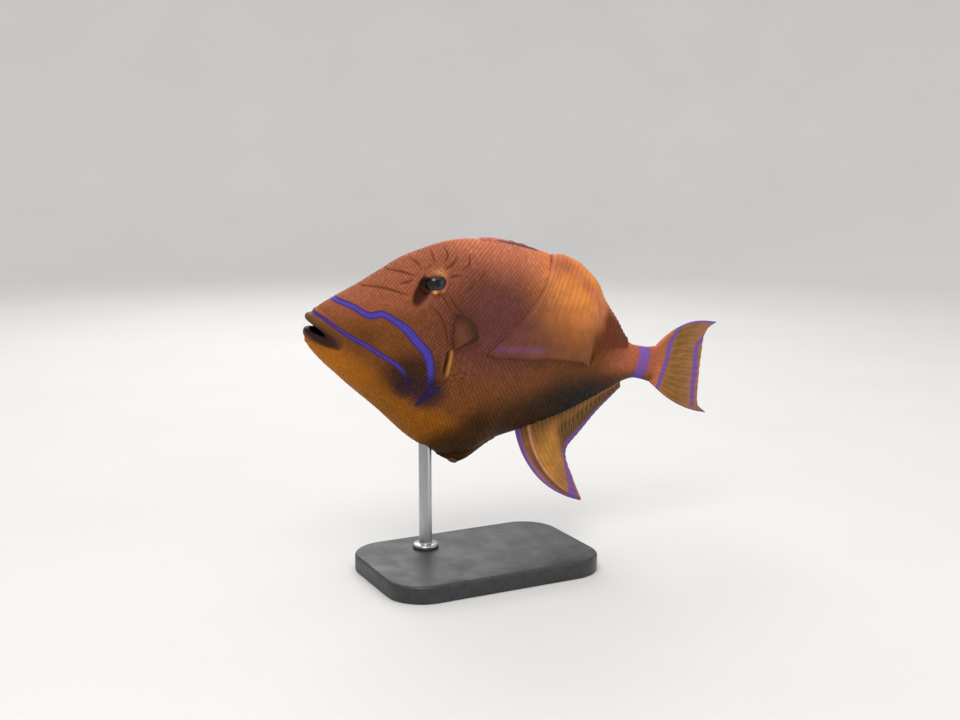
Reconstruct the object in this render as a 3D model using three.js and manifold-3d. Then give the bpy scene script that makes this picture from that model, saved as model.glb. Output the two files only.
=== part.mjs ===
// Queen triggerfish, swimming, life size, on a plain display stand.
// Millimetres, Z up. The fish faces -X and its left side faces -Y.
// The animal is drawn upright about its own axis first (x from snout to tail
// base in standard lengths, z up), then pitched and banked as it swims.

import * as THREE from 'three';
import { mergeVertices } from 'three/addons/utils/BufferGeometryUtils.js';
import Module from 'manifold-3d';

const wasm = await Module();
wasm.setup();

// Driving sizes.

const STANDARD_LENGTH = 280;
const PITCH_DEG = 9.66;
const BANK_DEG = 11.79;
const BODY_CENTRE_HEIGHT = 156;
const GAP = 0.3;
const EYE_RADIUS = 9.5;
const EYE_PROUD = 2.4;
const FIN_EDGE = 0.9;
const BASE_LENGTH = 156;
const BASE_WIDTH = 104;
const BASE_HEIGHT = 12;
const BASE_CORNER = 26;
const ROD_RADIUS = 4.5;
const ROD_STATION = 0.392;
const STAND_CENTRE = [0.445, -9];

// Stations of the fish, as shares of its standard length.
const SNOUT_STATION = 0.021;
const GILL_STATION = 0.348;
const STALK_STATION = 0.9;
const CAUDAL_STATION = 0.985;
const SOFT_DORSAL = [0.6, 0.885];
const ANAL = [0.63, 0.9];

// Small tools.

const lerp = THREE.MathUtils.lerp;
const clamp = THREE.MathUtils.clamp;
const rad = THREE.MathUtils.degToRad;

// A monotone curve through a few knots: the profiles of the fish.
function profile(knots) {
  const n = knots.length;
  const slope = [];
  for (let i = 0; i < n - 1; i += 1) {
    slope.push((knots[i + 1][1] - knots[i][1]) / (knots[i + 1][0] - knots[i][0]));
  }
  const tangent = [slope[0]];
  for (let i = 1; i < n - 1; i += 1) {
    const same = slope[i - 1] * slope[i] > 0;
    tangent.push(same ? (2 * slope[i - 1] * slope[i]) / (slope[i - 1] + slope[i]) : 0);
  }
  tangent.push(slope[n - 2]);
  return (x) => {
    let i = 0;
    while (i < n - 2 && x > knots[i + 1][0]) i += 1;
    const h = knots[i + 1][0] - knots[i][0];
    const t = clamp((x - knots[i][0]) / h, 0, 1);
    const a = (1 + 2 * t) * (1 - t) ** 2 * knots[i][1] + t * (1 - t) ** 2 * h * tangent[i];
    const b = t * t * (3 - 2 * t) * knots[i + 1][1] + t * t * (t - 1) * h * tangent[i + 1];
    return a + b;
  };
}

// A closed solid from points and triangles, turned to face out.
function solid(points, triangles) {
  let volume = 0;
  for (const [a, b, c] of triangles) {
    volume += points[a].dot(new THREE.Vector3().crossVectors(points[b], points[c]));
  }
  const faces = volume < 0 ? triangles.map(([a, b, c]) => [a, c, b]) : triangles;
  const geometry = new THREE.BufferGeometry().setFromPoints(points);
  geometry.setIndex(faces.flat());
  return weld(geometry);
}

function weld(geometry) {
  const bare = geometry.clone();
  bare.deleteAttribute('normal');
  bare.deleteAttribute('uv');
  const merged = mergeVertices(bare, 1e-4);
  return new wasm.Manifold(new wasm.Mesh({
    numProp: 3,
    vertProperties: new Float32Array(merged.attributes.position.array),
    triVerts: new Uint32Array(merged.index.array),
  }));
}

// Rings of points, one after another, closed at both ends with a fan.
function skinRings(rings) {
  const around = rings[0].length;
  const points = rings.flat();
  const triangles = [];
  for (let r = 0; r < rings.length - 1; r += 1) {
    for (let k = 0; k < around; k += 1) {
      const a = r * around + k;
      const b = r * around + ((k + 1) % around);
      triangles.push([a, b, b + around], [a, b + around, a + around]);
    }
  }
  for (const r of [0, rings.length - 1]) {
    const hub = points.length;
    const middle = new THREE.Vector3();
    rings[r].forEach((p) => middle.addScaledVector(p, 1 / around));
    points.push(middle);
    for (let k = 0; k < around; k += 1) {
      const a = r * around + k;
      const b = r * around + ((k + 1) % around);
      triangles.push(r === 0 ? [a, hub, b] : [a, b, hub]);
    }
  }
  return solid(points, triangles);
}

// A sheet with thickness: point(u, v) is its middle face, thick(u, v) its depth.
function sheet(across, along, point, thick) {
  const at = (i, j) => point(i / across, j / along);
  const step = 1e-3;
  const normal = (u, v) => {
    const du = point(Math.min(u + step, 1), v).sub(point(Math.max(u - step, 0), v));
    const dv = point(u, Math.min(v + step, 1)).sub(point(u, Math.max(v - step, 0)));
    return du.cross(dv).normalize();
  };
  const points = [];
  for (const side of [-0.5, 0.5]) {
    for (let i = 0; i <= across; i += 1) {
      for (let j = 0; j <= along; j += 1) {
        const [u, v] = [i / across, j / along];
        points.push(at(i, j).addScaledVector(normal(u, v), side * thick(u, v)));
      }
    }
  }
  const row = along + 1;
  const face = (across + 1) * row;
  const triangles = [];
  for (let i = 0; i < across; i += 1) {
    for (let j = 0; j < along; j += 1) {
      const a = i * row + j;
      triangles.push([a, a + 1, a + row + 1], [a, a + row + 1, a + row]);
      triangles.push([face + a, face + a + row + 1, face + a + 1]);
      triangles.push([face + a, face + a + row, face + a + row + 1]);
    }
  }
  const rim = [];
  for (let j = 0; j < along; j += 1) rim.push(j);
  for (let i = 0; i < across; i += 1) rim.push(i * row + along);
  for (let j = along; j > 0; j -= 1) rim.push(across * row + j);
  for (let i = across; i > 0; i -= 1) rim.push(i * row);
  rim.forEach((a, k) => {
    const b = rim[(k + 1) % rim.length];
    triangles.push([a, face + a, face + b], [a, face + b, b]);
  });
  return solid(points, triangles);
}

// A side view outline, in standard lengths, carried right through the fish.
function sideBlock(outline) {
  const shape = new THREE.Shape(outline.map(([x, z]) => new THREE.Vector2(x, z)));
  const block = new THREE.ExtrudeGeometry(shape, { depth: 0.6, bevelEnabled: false });
  block.translate(0, 0, -0.3);
  block.rotateX(Math.PI / 2);
  block.scale(STANDARD_LENGTH, STANDARD_LENGTH, STANDARD_LENGTH);
  return weld(block);
}

const place = (x, y, z) => new THREE.Vector3(x, y, z).multiplyScalar(STANDARD_LENGTH);

// The body's own form.

const back = profile([[0.018, 0.02], [0.025, 0.037], [0.045, 0.0575], [0.12, 0.116],
  [0.24, 0.211], [0.36, 0.26], [0.46, 0.269], [0.58, 0.257], [0.65, 0.2345], [0.72, 0.194],
  [0.83, 0.11], [0.88, 0.063], [0.91, 0.0495], [0.95, 0.0475], [1, 0.058]]);
const belly = profile([[0.018, -0.012], [0.025, -0.031], [0.045, -0.0525], [0.12, -0.107],
  [0.24, -0.183],
  [0.36, -0.26], [0.44, -0.287], [0.5, -0.279], [0.56, -0.242], [0.64, -0.207],
  [0.76, -0.144], [0.86, -0.08], [0.94, -0.041], [1, -0.05]]);
const halfWidth = profile([[0.018, 0.012], [0.026, 0.0275], [0.05, 0.043], [0.12, 0.063],
  [0.24, 0.085], [0.34, 0.094],
  [0.5, 0.088], [0.64, 0.068], [0.8, 0.036], [0.93, 0.018], [1, 0.009]]);
const roundness = profile([[0, 1.0], [0.12, 1.12], [0.36, 1.22], [0.6, 1.34], [0.8, 1.2],
  [0.95, 1.0], [1, 1.0]]);

// One point of the body's skin: a station, and an angle about the fish's axis.
function skin(x, angle, grow) {
  const middle = (back(x) + belly(x)) / 2;
  const half = (back(x) - belly(x)) / 2;
  const c = Math.cos(angle);
  const wide = halfWidth(x) * Math.sign(c) * Math.abs(c) ** roundness(x);
  const point = place(x, wide, middle + half * Math.sin(angle));
  return point.add(new THREE.Vector3(0, grow * c, grow * Math.sin(angle)));
}

function bodyLoft(grow, first, last, count, around) {
  const rings = [];
  for (let i = 0; i <= count; i += 1) {
    const t = i / count;
    const x = lerp(first, last, 0.72 * t + 0.28 * t * t);
    const ring = [];
    for (let k = 0; k < around; k += 1) {
      ring.push(skin(x, (2 * Math.PI * (k + 0.5)) / around, grow));
    }
    rings.push(ring);
  }
  return skinRings(rings);
}

// The half width of the body at a height, used to seat things on the flank.
function flank(x, z) {
  const middle = (back(x) + belly(x)) / 2;
  const half = (back(x) - belly(x)) / 2;
  const t = clamp((z - middle) / half, -1, 1);
  return halfWidth(x) * (1 - t * t) ** (roundness(x) / 2);
}

const wholeBody = bodyLoft(0, SNOUT_STATION, CAUDAL_STATION, 38, 28);
const clearBody = bodyLoft(GAP, SNOUT_STATION - 0.0012, CAUDAL_STATION + 0.0012, 38, 28);

// Eyes, with the hollow before each.

const EYE_AT = [0.286, 0.16];

function outward(x, z, side) {
  const e = 0.004;
  const slopeX = (flank(x + e, z) - flank(x - e, z)) / (2 * e);
  const slopeZ = (flank(x, z + e) - flank(x, z - e)) / (2 * e);
  return new THREE.Vector3(-slopeX, side, -slopeZ).normalize();
}

function eyeCentre(side) {
  const [x, z] = EYE_AT;
  const centre = place(x, side * flank(x, z), z);
  return centre.addScaledVector(outward(x, z, side), EYE_PROUD - EYE_RADIUS);
}

function ball(centre, radii, tiltY, segments) {
  const shape = new THREE.SphereGeometry(1, segments, Math.round(segments * 0.6));
  shape.scale(radii[0], radii[1], radii[2]);
  shape.rotateY(tiltY);
  shape.translate(centre.x, centre.y, centre.z);
  return weld(shape);
}

const eye = (side) => {
  const shape = new THREE.SphereGeometry(EYE_RADIUS, 18, 10);
  const turn = new THREE.Quaternion();
  turn.setFromUnitVectors(new THREE.Vector3(0, 1, 0), outward(EYE_AT[0], EYE_AT[1], side));
  shape.applyQuaternion(turn);
  const c = eyeCentre(side);
  shape.translate(c.x, c.y, c.z);
  return weld(shape);
};

const socket = (side) => {
  const r = EYE_RADIUS + GAP + 0.15;
  return ball(eyeCentre(side), [r, r, r], 0, 14);
};

// The bare hollow that runs down and forward from the eye.
const hollow = (side) => {
  const [x, z] = [0.2545, 0.131];
  return ball(place(x, side * (flank(x, z) + 0.002), z), [4.4, 2.6, 11], rad(24), 10);
};

// The short gill opening, just before the pectoral fin.
const gillSlit = (side) => {
  const [x, z] = [GILL_STATION - 0.001, -0.022];
  return ball(place(x, side * (flank(x, z) + 0.002), z), [1.8, 4, 9], rad(-4), 8);
};

// Mouth: a narrow gape between two fleshy lips.

const GAPE_SLOPE_DEG = 18;

function lip(line, high, deep, grow) {
  const points = [];
  line.forEach(([x, y, z]) => points.push(place(x, -y, z)));
  line.slice(0, -1).reverse().forEach(([x, y, z]) => points.push(place(x, y, z)));
  const path = new THREE.CatmullRomCurve3(points);
  const rings = [];
  const count = 14;
  for (let i = 0; i <= count; i += 1) {
    const s = i / count;
    const centre = path.getPoint(s);
    const ahead = path.getTangent(s);
    const side = new THREE.Vector3().crossVectors(ahead, new THREE.Vector3(0, 0, 1)).normalize();
    const up = new THREE.Vector3().crossVectors(side, ahead).normalize();
    const full = 0.3 + 0.7 * Math.sin(Math.PI * s) ** 0.55;
    const ring = [];
    for (let k = 0; k < 8; k += 1) {
      const a = (2 * Math.PI * k) / 8;
      const p = centre.clone();
      p.addScaledVector(side, (deep * full + grow) * Math.cos(a));
      p.addScaledVector(up, (high * full + grow) * Math.sin(a));
      ring.push(p);
    }
    rings.push(ring);
  }
  return skinRings(rings);
}

const UPPER_LINE = [[0.086, 0.05, -0.007], [0.069, 0.0445, 0.004], [0.048, 0.0355, 0.015],
  [0.03, 0.02, 0.0235], [0.0235, 0, 0.0265]];
const LOWER_LINE = [[0.085, 0.049, -0.0175], [0.068, 0.0415, -0.0165], [0.05, 0.032, -0.014],
  [0.033, 0.0185, -0.0115], [0.027, 0, -0.0105]];
const upperLip = (grow) => lip(UPPER_LINE, 2.6, 2.5, grow);
const lowerLip = (grow) => lip(LOWER_LINE, 3.3, 2.7, grow);
const mouthHollow = ball(place(0.02, 0, 0.007), [19, 9.8, 3.1], rad(GAPE_SLOPE_DEG), 14);

// Parting the body.

const gillLine = (z) => GILL_STATION + 0.36 * (z + 0.02) ** 2;
const stalkLine = (z) => STALK_STATION - 0.9 * z * z;

function blockBetween(front, rear) {
  const outline = [];
  const heights = [-0.4, -0.28, -0.2, -0.12, -0.04, 0.04, 0.12, 0.2, 0.28, 0.4];
  heights.forEach((z) => outline.push([front(z), z]));
  heights.slice().reverse().forEach((z) => outline.push([rear(z), z]));
  return sideBlock(outline);
}

const halfGap = GAP / 2 / STANDARD_LENGTH;
const ahead = () => -0.1;
const behind = () => 1.3;
const headBlock = blockBetween(ahead, (z) => gillLine(z) - halfGap);
const trunkBlock = blockBetween((z) => gillLine(z) + halfGap, (z) => stalkLine(z) - halfGap);
const stalkBlock = blockBetween((z) => stalkLine(z) + halfGap, behind);

// First dorsal fin: three spines folded down in their groove.

const SPINES = [[0.4, 0.148, 2.5], [0.424, 0.118, 2.1], [0.45, 0.088, 1.6]];

function spine([root, length, radius], grow) {
  const rings = [];
  for (let i = 0; i <= 8; i += 1) {
    const s = i / 8;
    const x = root + length * s;
    const r = radius * (1 - 0.72 * s ** 1.6) * (i === 0 ? 0.55 : 1);
    const lift = -0.0035 + 0.002 * Math.sin(Math.PI * Math.min(1, 1.4 * s));
    const centre = place(x, 0, back(x) + lift);
    const ring = [];
    for (let k = 0; k < 10; k += 1) {
      const a = (2 * Math.PI * (k + 0.5)) / 10;
      const out = new THREE.Vector3(0, Math.cos(a), Math.sin(a));
      ring.push(centre.clone().addScaledVector(out, r + grow));
    }
    rings.push(ring);
  }
  return skinRings(rings);
}

const foldedFin = (grow) => SPINES.map((s) => spine(s, grow)).reduce((a, b) => a.add(b));

// Soft dorsal fin: erect, and swung over to the fish's left.

// Ray length along the base, in standard lengths: a tall front lobe.
const dorsalRay = profile([[0, 0.275], [0.08, 0.296], [0.2, 0.3], [0.36, 0.276], [0.52, 0.238],
  [0.62, 0.185], [0.72, 0.115], [1, 0.04]]);
// How quickly each ray turns over, and the angle from upright it turns through.
const dorsalBend = profile([[0, 0.013], [0.05, 0.022], [0.15, 0.034], [0.3, 0.047],
  [0.42, 0.047], [0.51, 0.037], [0.58, 0.023], [0.68, 0.0145], [0.8, 0.011], [1, 0.009]]);
const dorsalTurn = profile([[0, 157], [0.15, 166], [0.35, 171], [0.58, 171], [0.7, 158],
  [0.85, 140], [1, 120]]);
const dorsalLean = profile([[0, -0.57], [0.1, -0.46], [0.3, -0.2], [0.52, -0.02],
  [0.75, -0.2], [1, -0.3]]);
const HUG = 0.86;
const HUG_CLEAR = 0.0048;

// A ray that rises and turns ever further over to one side: returns [out, up].
function curl(reach, bend, turnDeg) {
  const steps = 24;
  let [out, up] = [0, 0];
  for (let i = 0; i < steps; i += 1) {
    const s = (reach * (i + 0.5)) / steps;
    const a = rad(turnDeg) * (1 - Math.exp(-((s / bend) ** 1.5)) * (1 - 0.25 * s));
    out += (Math.sin(a) * reach) / steps;
    up += (Math.cos(a) * reach) / steps;
  }
  return [out, up];
}

// The front rays lie along the flank; the later ones belly out from it.
function dorsalPoint(u, v) {
  const x = lerp(SOFT_DORSAL[0], SOFT_DORSAL[1], u);
  const reach = dorsalRay(u) * v;
  const [out, up] = curl(reach, dorsalBend(u), dorsalTurn(u));
  const along = dorsalLean(u) * reach * (0.3 + 0.7 * v);
  const z = back(x) - 0.004 + up;
  const near = flank(x + along, z) + HUG_CLEAR;
  const hug = HUG * (1 - THREE.MathUtils.smoothstep(u, 0.05, 0.42))
    * THREE.MathUtils.smoothstep(v, 0.1, 0.34);
  return place(x + along, -lerp(out, near, hug), z);
}

const finDepth = (u, v) => lerp(3.2, FIN_EDGE, Math.min(1, 2.2 * v) ** 0.7);

// Anal fin: front lobe swung left, the rear held under the body.

const analRay = profile([[0, 0.27], [0.12, 0.255], [0.28, 0.17], [0.42, 0.112], [0.6, 0.085],
  [0.78, 0.052], [1, 0.02]]);
const analSwing = profile([[0, 32], [0.25, 28], [0.5, 12], [1, -4]]);
const analSweep = profile([[0, 16], [0.25, 14], [0.5, 8], [1, 20]]);
const analHook = profile([[0, 68], [0.25, 42], [0.5, 12], [1, 10]]);

function analPoint(u, v) {
  const x = lerp(ANAL[0], ANAL[1], u);
  const steps = 12;
  let [aft, down] = [0, 0];
  for (let i = 0; i < steps; i += 1) {
    const s = (v * (i + 0.5)) / steps;
    const sweep = rad(analSweep(u) + analHook(u) * s ** 1.2);
    aft += (analRay(u) * v * Math.sin(sweep)) / steps;
    down += (analRay(u) * v * Math.cos(sweep)) / steps;
  }
  const swing = rad(analSwing(u)) * (0.6 + 0.4 * v);
  return place(x + aft, -down * Math.sin(swing), belly(x) + 0.004 - down * Math.cos(swing));
}

// Tail fin.

const tailMargin = profile([[-1, 1.205], [-0.8, 1.166], [-0.4, 1.148], [0, 1.14], [0.35, 1.134],
  [0.7, 1.126], [0.88, 1.132], [1, 1.15]]);

function tailPoint(u, v) {
  const s = lerp(-1, 1, u);
  const x = lerp(CAUDAL_STATION + 0.0012, tailMargin(s), v);
  const spread = 1 - (1 - v) ** (s > 0 ? 3.2 : 2.0);
  const foot = (s > 0 ? 0.053 : 0.043) * s;
  const tip = (s > 0 ? 0.137 : 0.12) * s;
  const wave = 0.006 * Math.sin(Math.PI * s) * v;
  return place(x, wave, lerp(foot, tip, spread));
}

const tailDepth = (u, v) => lerp(4.6, FIN_EDGE, Math.min(1, 1.8 * v) ** 0.8);

// Pectoral fins: small fans held up and out behind the gill opening.

const PECTORAL_AT = [0.352, 0.03];

function pectoralPoint(side) {
  return (u, v) => {
    const [x, z] = PECTORAL_AT;
    const angle = rad(lerp(106, 36, u));
    const reach = 0.071 * (1 - 0.17 * (1.9 * u - 0.95) ** 2) * v;
    const foot = [x + 0.008 * (u - 0.5), z - 0.034 * (u - 0.5)];
    const flare = 0.0045 + reach * 0.24 - 0.6 * reach * reach;
    const px = foot[0] + reach * Math.cos(angle);
    const pz = foot[1] + reach * Math.sin(angle);
    return place(px, side * (flank(foot[0], foot[1]) + flare), pz);
  };
}

const pectoralDepth = (u, v) => lerp(2.4, FIN_EDGE, Math.min(1, 2 * v));

// Pelvic flap, with the short blunt spine at its corner.

function flapPoint(u, v) {
  const x = lerp(0.425, 0.575, u);
  const corner = 0.4;
  const drop = u < corner ? u / corner : (1 - u) / (1 - corner);
  const low = -0.005 - 0.023 * drop ** 1.1;
  return place(x, 0, belly(x) + lerp(0.01, low, v));
}

const flapDepth = (u, v) => lerp(8.5, 2.2, v) * (0.45 + 0.55 * Math.sin(Math.PI * clamp(u, 0.05, 0.95)));

function pelvicSpine(grow) {
  const start = place(0.462, 0, -0.2985);
  const end = place(0.4895, 0, -0.3075);
  const rings = [];
  for (let i = 0; i <= 5; i += 1) {
    const s = i / 5;
    const r = 2.1 * Math.sqrt(Math.max(0.06, 1 - (2 * s - 0.9) ** 2 / 1.22)) + grow;
    const centre = start.clone().lerp(end, s);
    const ring = [];
    for (let k = 0; k < 10; k += 1) {
      const a = (2 * Math.PI * k) / 10;
      ring.push(centre.clone().add(new THREE.Vector3(0, r * Math.cos(a), r * Math.sin(a))));
    }
    rings.push(ring);
  }
  return skinRings(rings);
}

// Everything of the fish, cut clear of its neighbours.

const bothSides = (make) => make(-1).add(make(1));

const head = wholeBody.intersect(headBlock)
  .subtract(bothSides(socket))
  .subtract(bothSides(hollow))
  .subtract(bothSides(gillSlit))
  .subtract(upperLip(GAP))
  .subtract(lowerLip(GAP))
  .subtract(mouthHollow);
const trunk = wholeBody.intersect(trunkBlock)
  .subtract(bothSides(gillSlit))
  .subtract(foldedFin(GAP));
const tailStalk = wholeBody.intersect(stalkBlock);
const flap = sheet(10, 2, flapPoint, flapDepth).subtract(clearBody);

const fishParts = {
  head,
  trunk,
  tail_stalk: tailStalk,
  upper_lip: upperLip(0),
  lower_lip: lowerLip(0),
  eye_left: eye(-1),
  eye_right: eye(1),
  first_dorsal_fin: foldedFin(0),
  second_dorsal_fin: sheet(16, 10, dorsalPoint, finDepth).subtract(clearBody),
  anal_fin: sheet(16, 8, analPoint, finDepth).subtract(clearBody),
  tail_fin: sheet(16, 8, tailPoint, tailDepth),
  pectoral_fin_left: sheet(8, 6, pectoralPoint(-1), pectoralDepth).subtract(clearBody),
  pectoral_fin_right: sheet(8, 6, pectoralPoint(1), pectoralDepth).subtract(clearBody),
  pelvic_flap: flap.subtract(pelvicSpine(GAP)),
  pelvic_spine: pelvicSpine(0),
};

// Pose: pitched up, banked to its left, lifted over the stand.

const turned = new THREE.Matrix4().makeRotationY(rad(PITCH_DEG))
  .multiply(new THREE.Matrix4().makeRotationX(rad(BANK_DEG)));
const pose = new THREE.Matrix4().makeTranslation(0, 0, BODY_CENTRE_HEIGHT)
  .multiply(turned)
  .multiply(new THREE.Matrix4().makeTranslation(-STAND_CENTRE[0] * STANDARD_LENGTH, 0, 0))
  .premultiply(new THREE.Matrix4().makeTranslation(0, -STAND_CENTRE[1], 0));

// Stand.

function standBase() {
  const [w, h, r] = [BASE_LENGTH / 2 - 1, BASE_WIDTH / 2 - 1, BASE_CORNER];
  const outline = new THREE.Shape();
  outline.moveTo(-w + r, -h);
  outline.lineTo(w - r, -h);
  outline.absarc(w - r, -h + r, r, -Math.PI / 2, 0);
  outline.absarc(w - r, h - r, r, 0, Math.PI / 2);
  outline.absarc(-w + r, h - r, r, Math.PI / 2, Math.PI);
  outline.absarc(-w + r, -h + r, r, Math.PI, 1.5 * Math.PI);
  const plate = new THREE.ExtrudeGeometry(outline, {
    depth: BASE_HEIGHT - 2, bevelThickness: 1, bevelSize: 1, bevelSegments: 1, curveSegments: 6,
  });
  plate.translate(0, 0, 1);
  return weld(plate);
}

function standRod() {
  const foot = place(ROD_STATION, 0, belly(ROD_STATION)).applyMatrix4(pose);
  const top = foot.z + 14;
  const shaft = new THREE.CylinderGeometry(ROD_RADIUS, ROD_RADIUS, top - BASE_HEIGHT - 0.2, 20);
  shaft.rotateX(Math.PI / 2);
  shaft.translate(foot.x, foot.y, (top + BASE_HEIGHT + 0.2) / 2);
  return weld(shaft).subtract(clearBody.transform(pose.elements));
}

// The group.

const FINISHES = {
  skin: { color: 0x9c5a3c, roughness: 0.45 },
  fin: { color: 0xa8823c, roughness: 0.4 },
  lip: { color: 0x3a2018, roughness: 0.5 },
  eye: { color: 0x15252c, roughness: 0.1 },
  spine: { color: 0x8a5a58, roughness: 0.5 },
  stand_paint: { color: 0x2b2d30, roughness: 0.5 },
  stand_steel: { color: 0xb4b6b8, roughness: 0.3, metalness: 1 },
};

const SLOT_OF = {
  head: 'skin', trunk: 'skin', tail_stalk: 'skin', pelvic_flap: 'skin',
  upper_lip: 'lip', lower_lip: 'lip', eye_left: 'eye', eye_right: 'eye',
  first_dorsal_fin: 'spine', pelvic_spine: 'spine',
  stand_base: 'stand_paint', stand_rod: 'stand_steel',
};

function toMesh(name, body) {
  const made = body.getMesh();
  const geometry = new THREE.BufferGeometry();
  geometry.setAttribute('position', new THREE.BufferAttribute(made.vertProperties, 3));
  geometry.setIndex(new THREE.BufferAttribute(made.triVerts, 1));
  geometry.computeVertexNormals();
  const material = new THREE.MeshStandardMaterial(FINISHES[SLOT_OF[name] ?? 'fin']);
  const mesh = new THREE.Mesh(geometry, material);
  mesh.name = name;
  return mesh;
}

const group = new THREE.Group();
group.name = 'queen_triggerfish';
for (const [name, body] of Object.entries(fishParts)) {
  group.add(toMesh(name, body.transform(pose.elements)));
}
group.add(toMesh('stand_base', standBase()));
group.add(toMesh('stand_rod', standRod()));

export default group;
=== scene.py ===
# %% [markdown]
# # A queen triggerfish, life size, on a display stand
# The solids of the fish are already made. This lesson dresses them: one skin with
# the folds of the face, a coat of thousands of small plates, glassy eyes, fins with
# branched rays, and paint that follows the markings of the living fish.
# Everything is worked out from a few profiles, the same ones the solids use, so
# what is made here sits where the solids sit.

# %% Load the frame
import math

import bpy
import numpy as np
from mathutils import Matrix, Vector
from mathutils.bvhtree import BVHTree


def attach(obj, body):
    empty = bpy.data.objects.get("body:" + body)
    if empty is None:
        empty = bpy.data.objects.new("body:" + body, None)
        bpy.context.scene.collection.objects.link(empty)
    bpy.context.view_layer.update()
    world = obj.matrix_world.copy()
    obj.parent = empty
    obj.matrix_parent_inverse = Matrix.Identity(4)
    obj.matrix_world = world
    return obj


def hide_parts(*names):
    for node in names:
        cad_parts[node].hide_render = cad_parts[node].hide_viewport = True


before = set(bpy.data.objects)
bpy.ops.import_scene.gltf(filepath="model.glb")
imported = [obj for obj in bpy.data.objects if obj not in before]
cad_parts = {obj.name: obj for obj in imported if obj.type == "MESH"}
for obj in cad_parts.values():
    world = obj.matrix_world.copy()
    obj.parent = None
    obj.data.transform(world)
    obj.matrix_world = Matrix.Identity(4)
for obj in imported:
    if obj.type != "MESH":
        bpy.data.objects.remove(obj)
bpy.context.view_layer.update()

print("solids in the frame:", len(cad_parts))

# %% [markdown]
# ## The fish's own frame
# A fish that swims tilted is awkward to model in place. It is easier to draw it
# upright and straight, in millimetres, with x from the snout to the tail base, and
# to turn the finished points into the pose at the very end. Standard length, from
# snout to tail base, is the unit that fish are measured in, so stations along the
# body are given as shares of it.

# %% Sizes and the pose
LENGTH = 280.0  # snout to tail base
MM = 0.001
COAT = 0.35  # the skin lies this far inside the solids
EYE_RADIUS = 9.5
EYE_PROUD = 2.4  # how far the ball stands out of the flank
EYE_AT = (0.286, 0.16)
BALANCE = np.array([0.445 * LENGTH, 0.0, 0.0])  # the point that the fish is turned about
LIFT = np.array([0.0, 9.0, 156.0])  # where that point goes
NOSE_UP, BANKED = 9.66, 11.79


def turning(axis, degrees):
    return np.array(Matrix.Rotation(math.radians(degrees), 3, axis))


SWIMMING = turning("Y", NOSE_UP) @ turning("X", BANKED)


def to_world(points):
    return ((np.asarray(points, float) - BALANCE) @ SWIMMING.T + LIFT) * MM


print("snout tip in the scene:", to_world([0.0, 0.0, 0.0]).round(3).tolist())

# %% [markdown]
# ## Profiles
# The outline of a fish is a few smooth curves: back, belly and width. A monotone
# cubic passes through its knots without the extra bumps of an ordinary spline, so
# a profile can be given by a dozen pairs of numbers and still run fair.


# %% Curves through knots
def profile(knots):
    kx, ky = np.array(knots, float).T
    slope = np.diff(ky) / np.diff(kx)
    same = slope[:-1] * slope[1:] > 0
    both = np.where(same, slope[:-1] + slope[1:], 1.0)
    inner = np.where(same, 2 * slope[:-1] * slope[1:] / both, 0.0)
    tangent = np.concatenate([slope[:1], inner, slope[-1:]])

    def curve(x):
        x = np.asarray(x, float)
        i = np.clip(np.searchsorted(kx, x) - 1, 0, len(kx) - 2)
        h = kx[i + 1] - kx[i]
        t = np.clip((x - kx[i]) / h, 0, 1)
        start = (1 + 2 * t) * (1 - t) ** 2 * ky[i] + t * (1 - t) ** 2 * h * tangent[i]
        end = t * t * (3 - 2 * t) * ky[i + 1] + t * t * (t - 1) * h * tangent[i + 1]
        return start + end

    return curve


back = profile([(0.018, 0.02), (0.025, 0.037), (0.045, 0.0575), (0.12, 0.116),
                (0.24, 0.211), (0.36, 0.26), (0.46, 0.269), (0.58, 0.257), (0.65, 0.2345),
                (0.72, 0.194), (0.83, 0.11), (0.88, 0.063), (0.91, 0.0495), (0.95, 0.0475),
                (1.0, 0.058)])
belly = profile([(0.018, -0.012), (0.025, -0.031), (0.045, -0.0525), (0.12, -0.107),
                 (0.24, -0.183), (0.36, -0.26), (0.44, -0.287), (0.5, -0.279),
                 (0.56, -0.242), (0.64, -0.207), (0.76, -0.144), (0.86, -0.08),
                 (0.94, -0.041), (1.0, -0.05)])
half_width = profile([(0.018, 0.012), (0.026, 0.0275), (0.05, 0.043), (0.12, 0.063),
                      (0.24, 0.085), (0.34, 0.094), (0.5, 0.088), (0.64, 0.068),
                      (0.8, 0.036), (0.93, 0.018), (1.0, 0.009)])
roundness = profile([(0.0, 1.0), (0.12, 1.12), (0.36, 1.22), (0.6, 1.34), (0.8, 1.2),
                     (0.95, 1.0), (1.0, 1.0)])


def body_point(x, angle, grow):
    """A point of the body: station x, angle about the fish's axis, 0 at its side."""
    middle, half = (back(x) + belly(x)) / 2, (back(x) - belly(x)) / 2
    c, s = np.cos(angle), np.sin(angle)
    wide = half_width(x) * np.sign(c) * np.abs(c) ** roundness(x)
    return np.stack([x * LENGTH + 0 * c, wide * LENGTH + grow * c,
                     (middle + half * s) * LENGTH + grow * s], -1)


def flank(x, z):
    """The body's half width at a height, as a share of the length."""
    middle, half = (back(x) + belly(x)) / 2, (back(x) - belly(x)) / 2
    t = np.clip((z - middle) / half, -1, 1)
    return half_width(x) * (1 - t * t) ** (roundness(x) / 2)


def lerp(a, b, t):
    return a + (b - a) * t


def smooth(low, high, value):
    t = np.clip((value - low) / (high - low), 0, 1)
    return t * t * (3 - 2 * t)


print("deepest:", round(float((back(0.45) - belly(0.45)) * LENGTH), 1), "mm")

# %% [markdown]
# ## Making meshes from numbers
# Python lists are slow for a hundred thousand points. NumPy arrays can be handed
# straight to a mesh with foreach_set, which takes a fraction of a second. The
# helpers below make a mesh, a closed loft from rings of points, and a curve that
# passes through a few given points.


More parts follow.
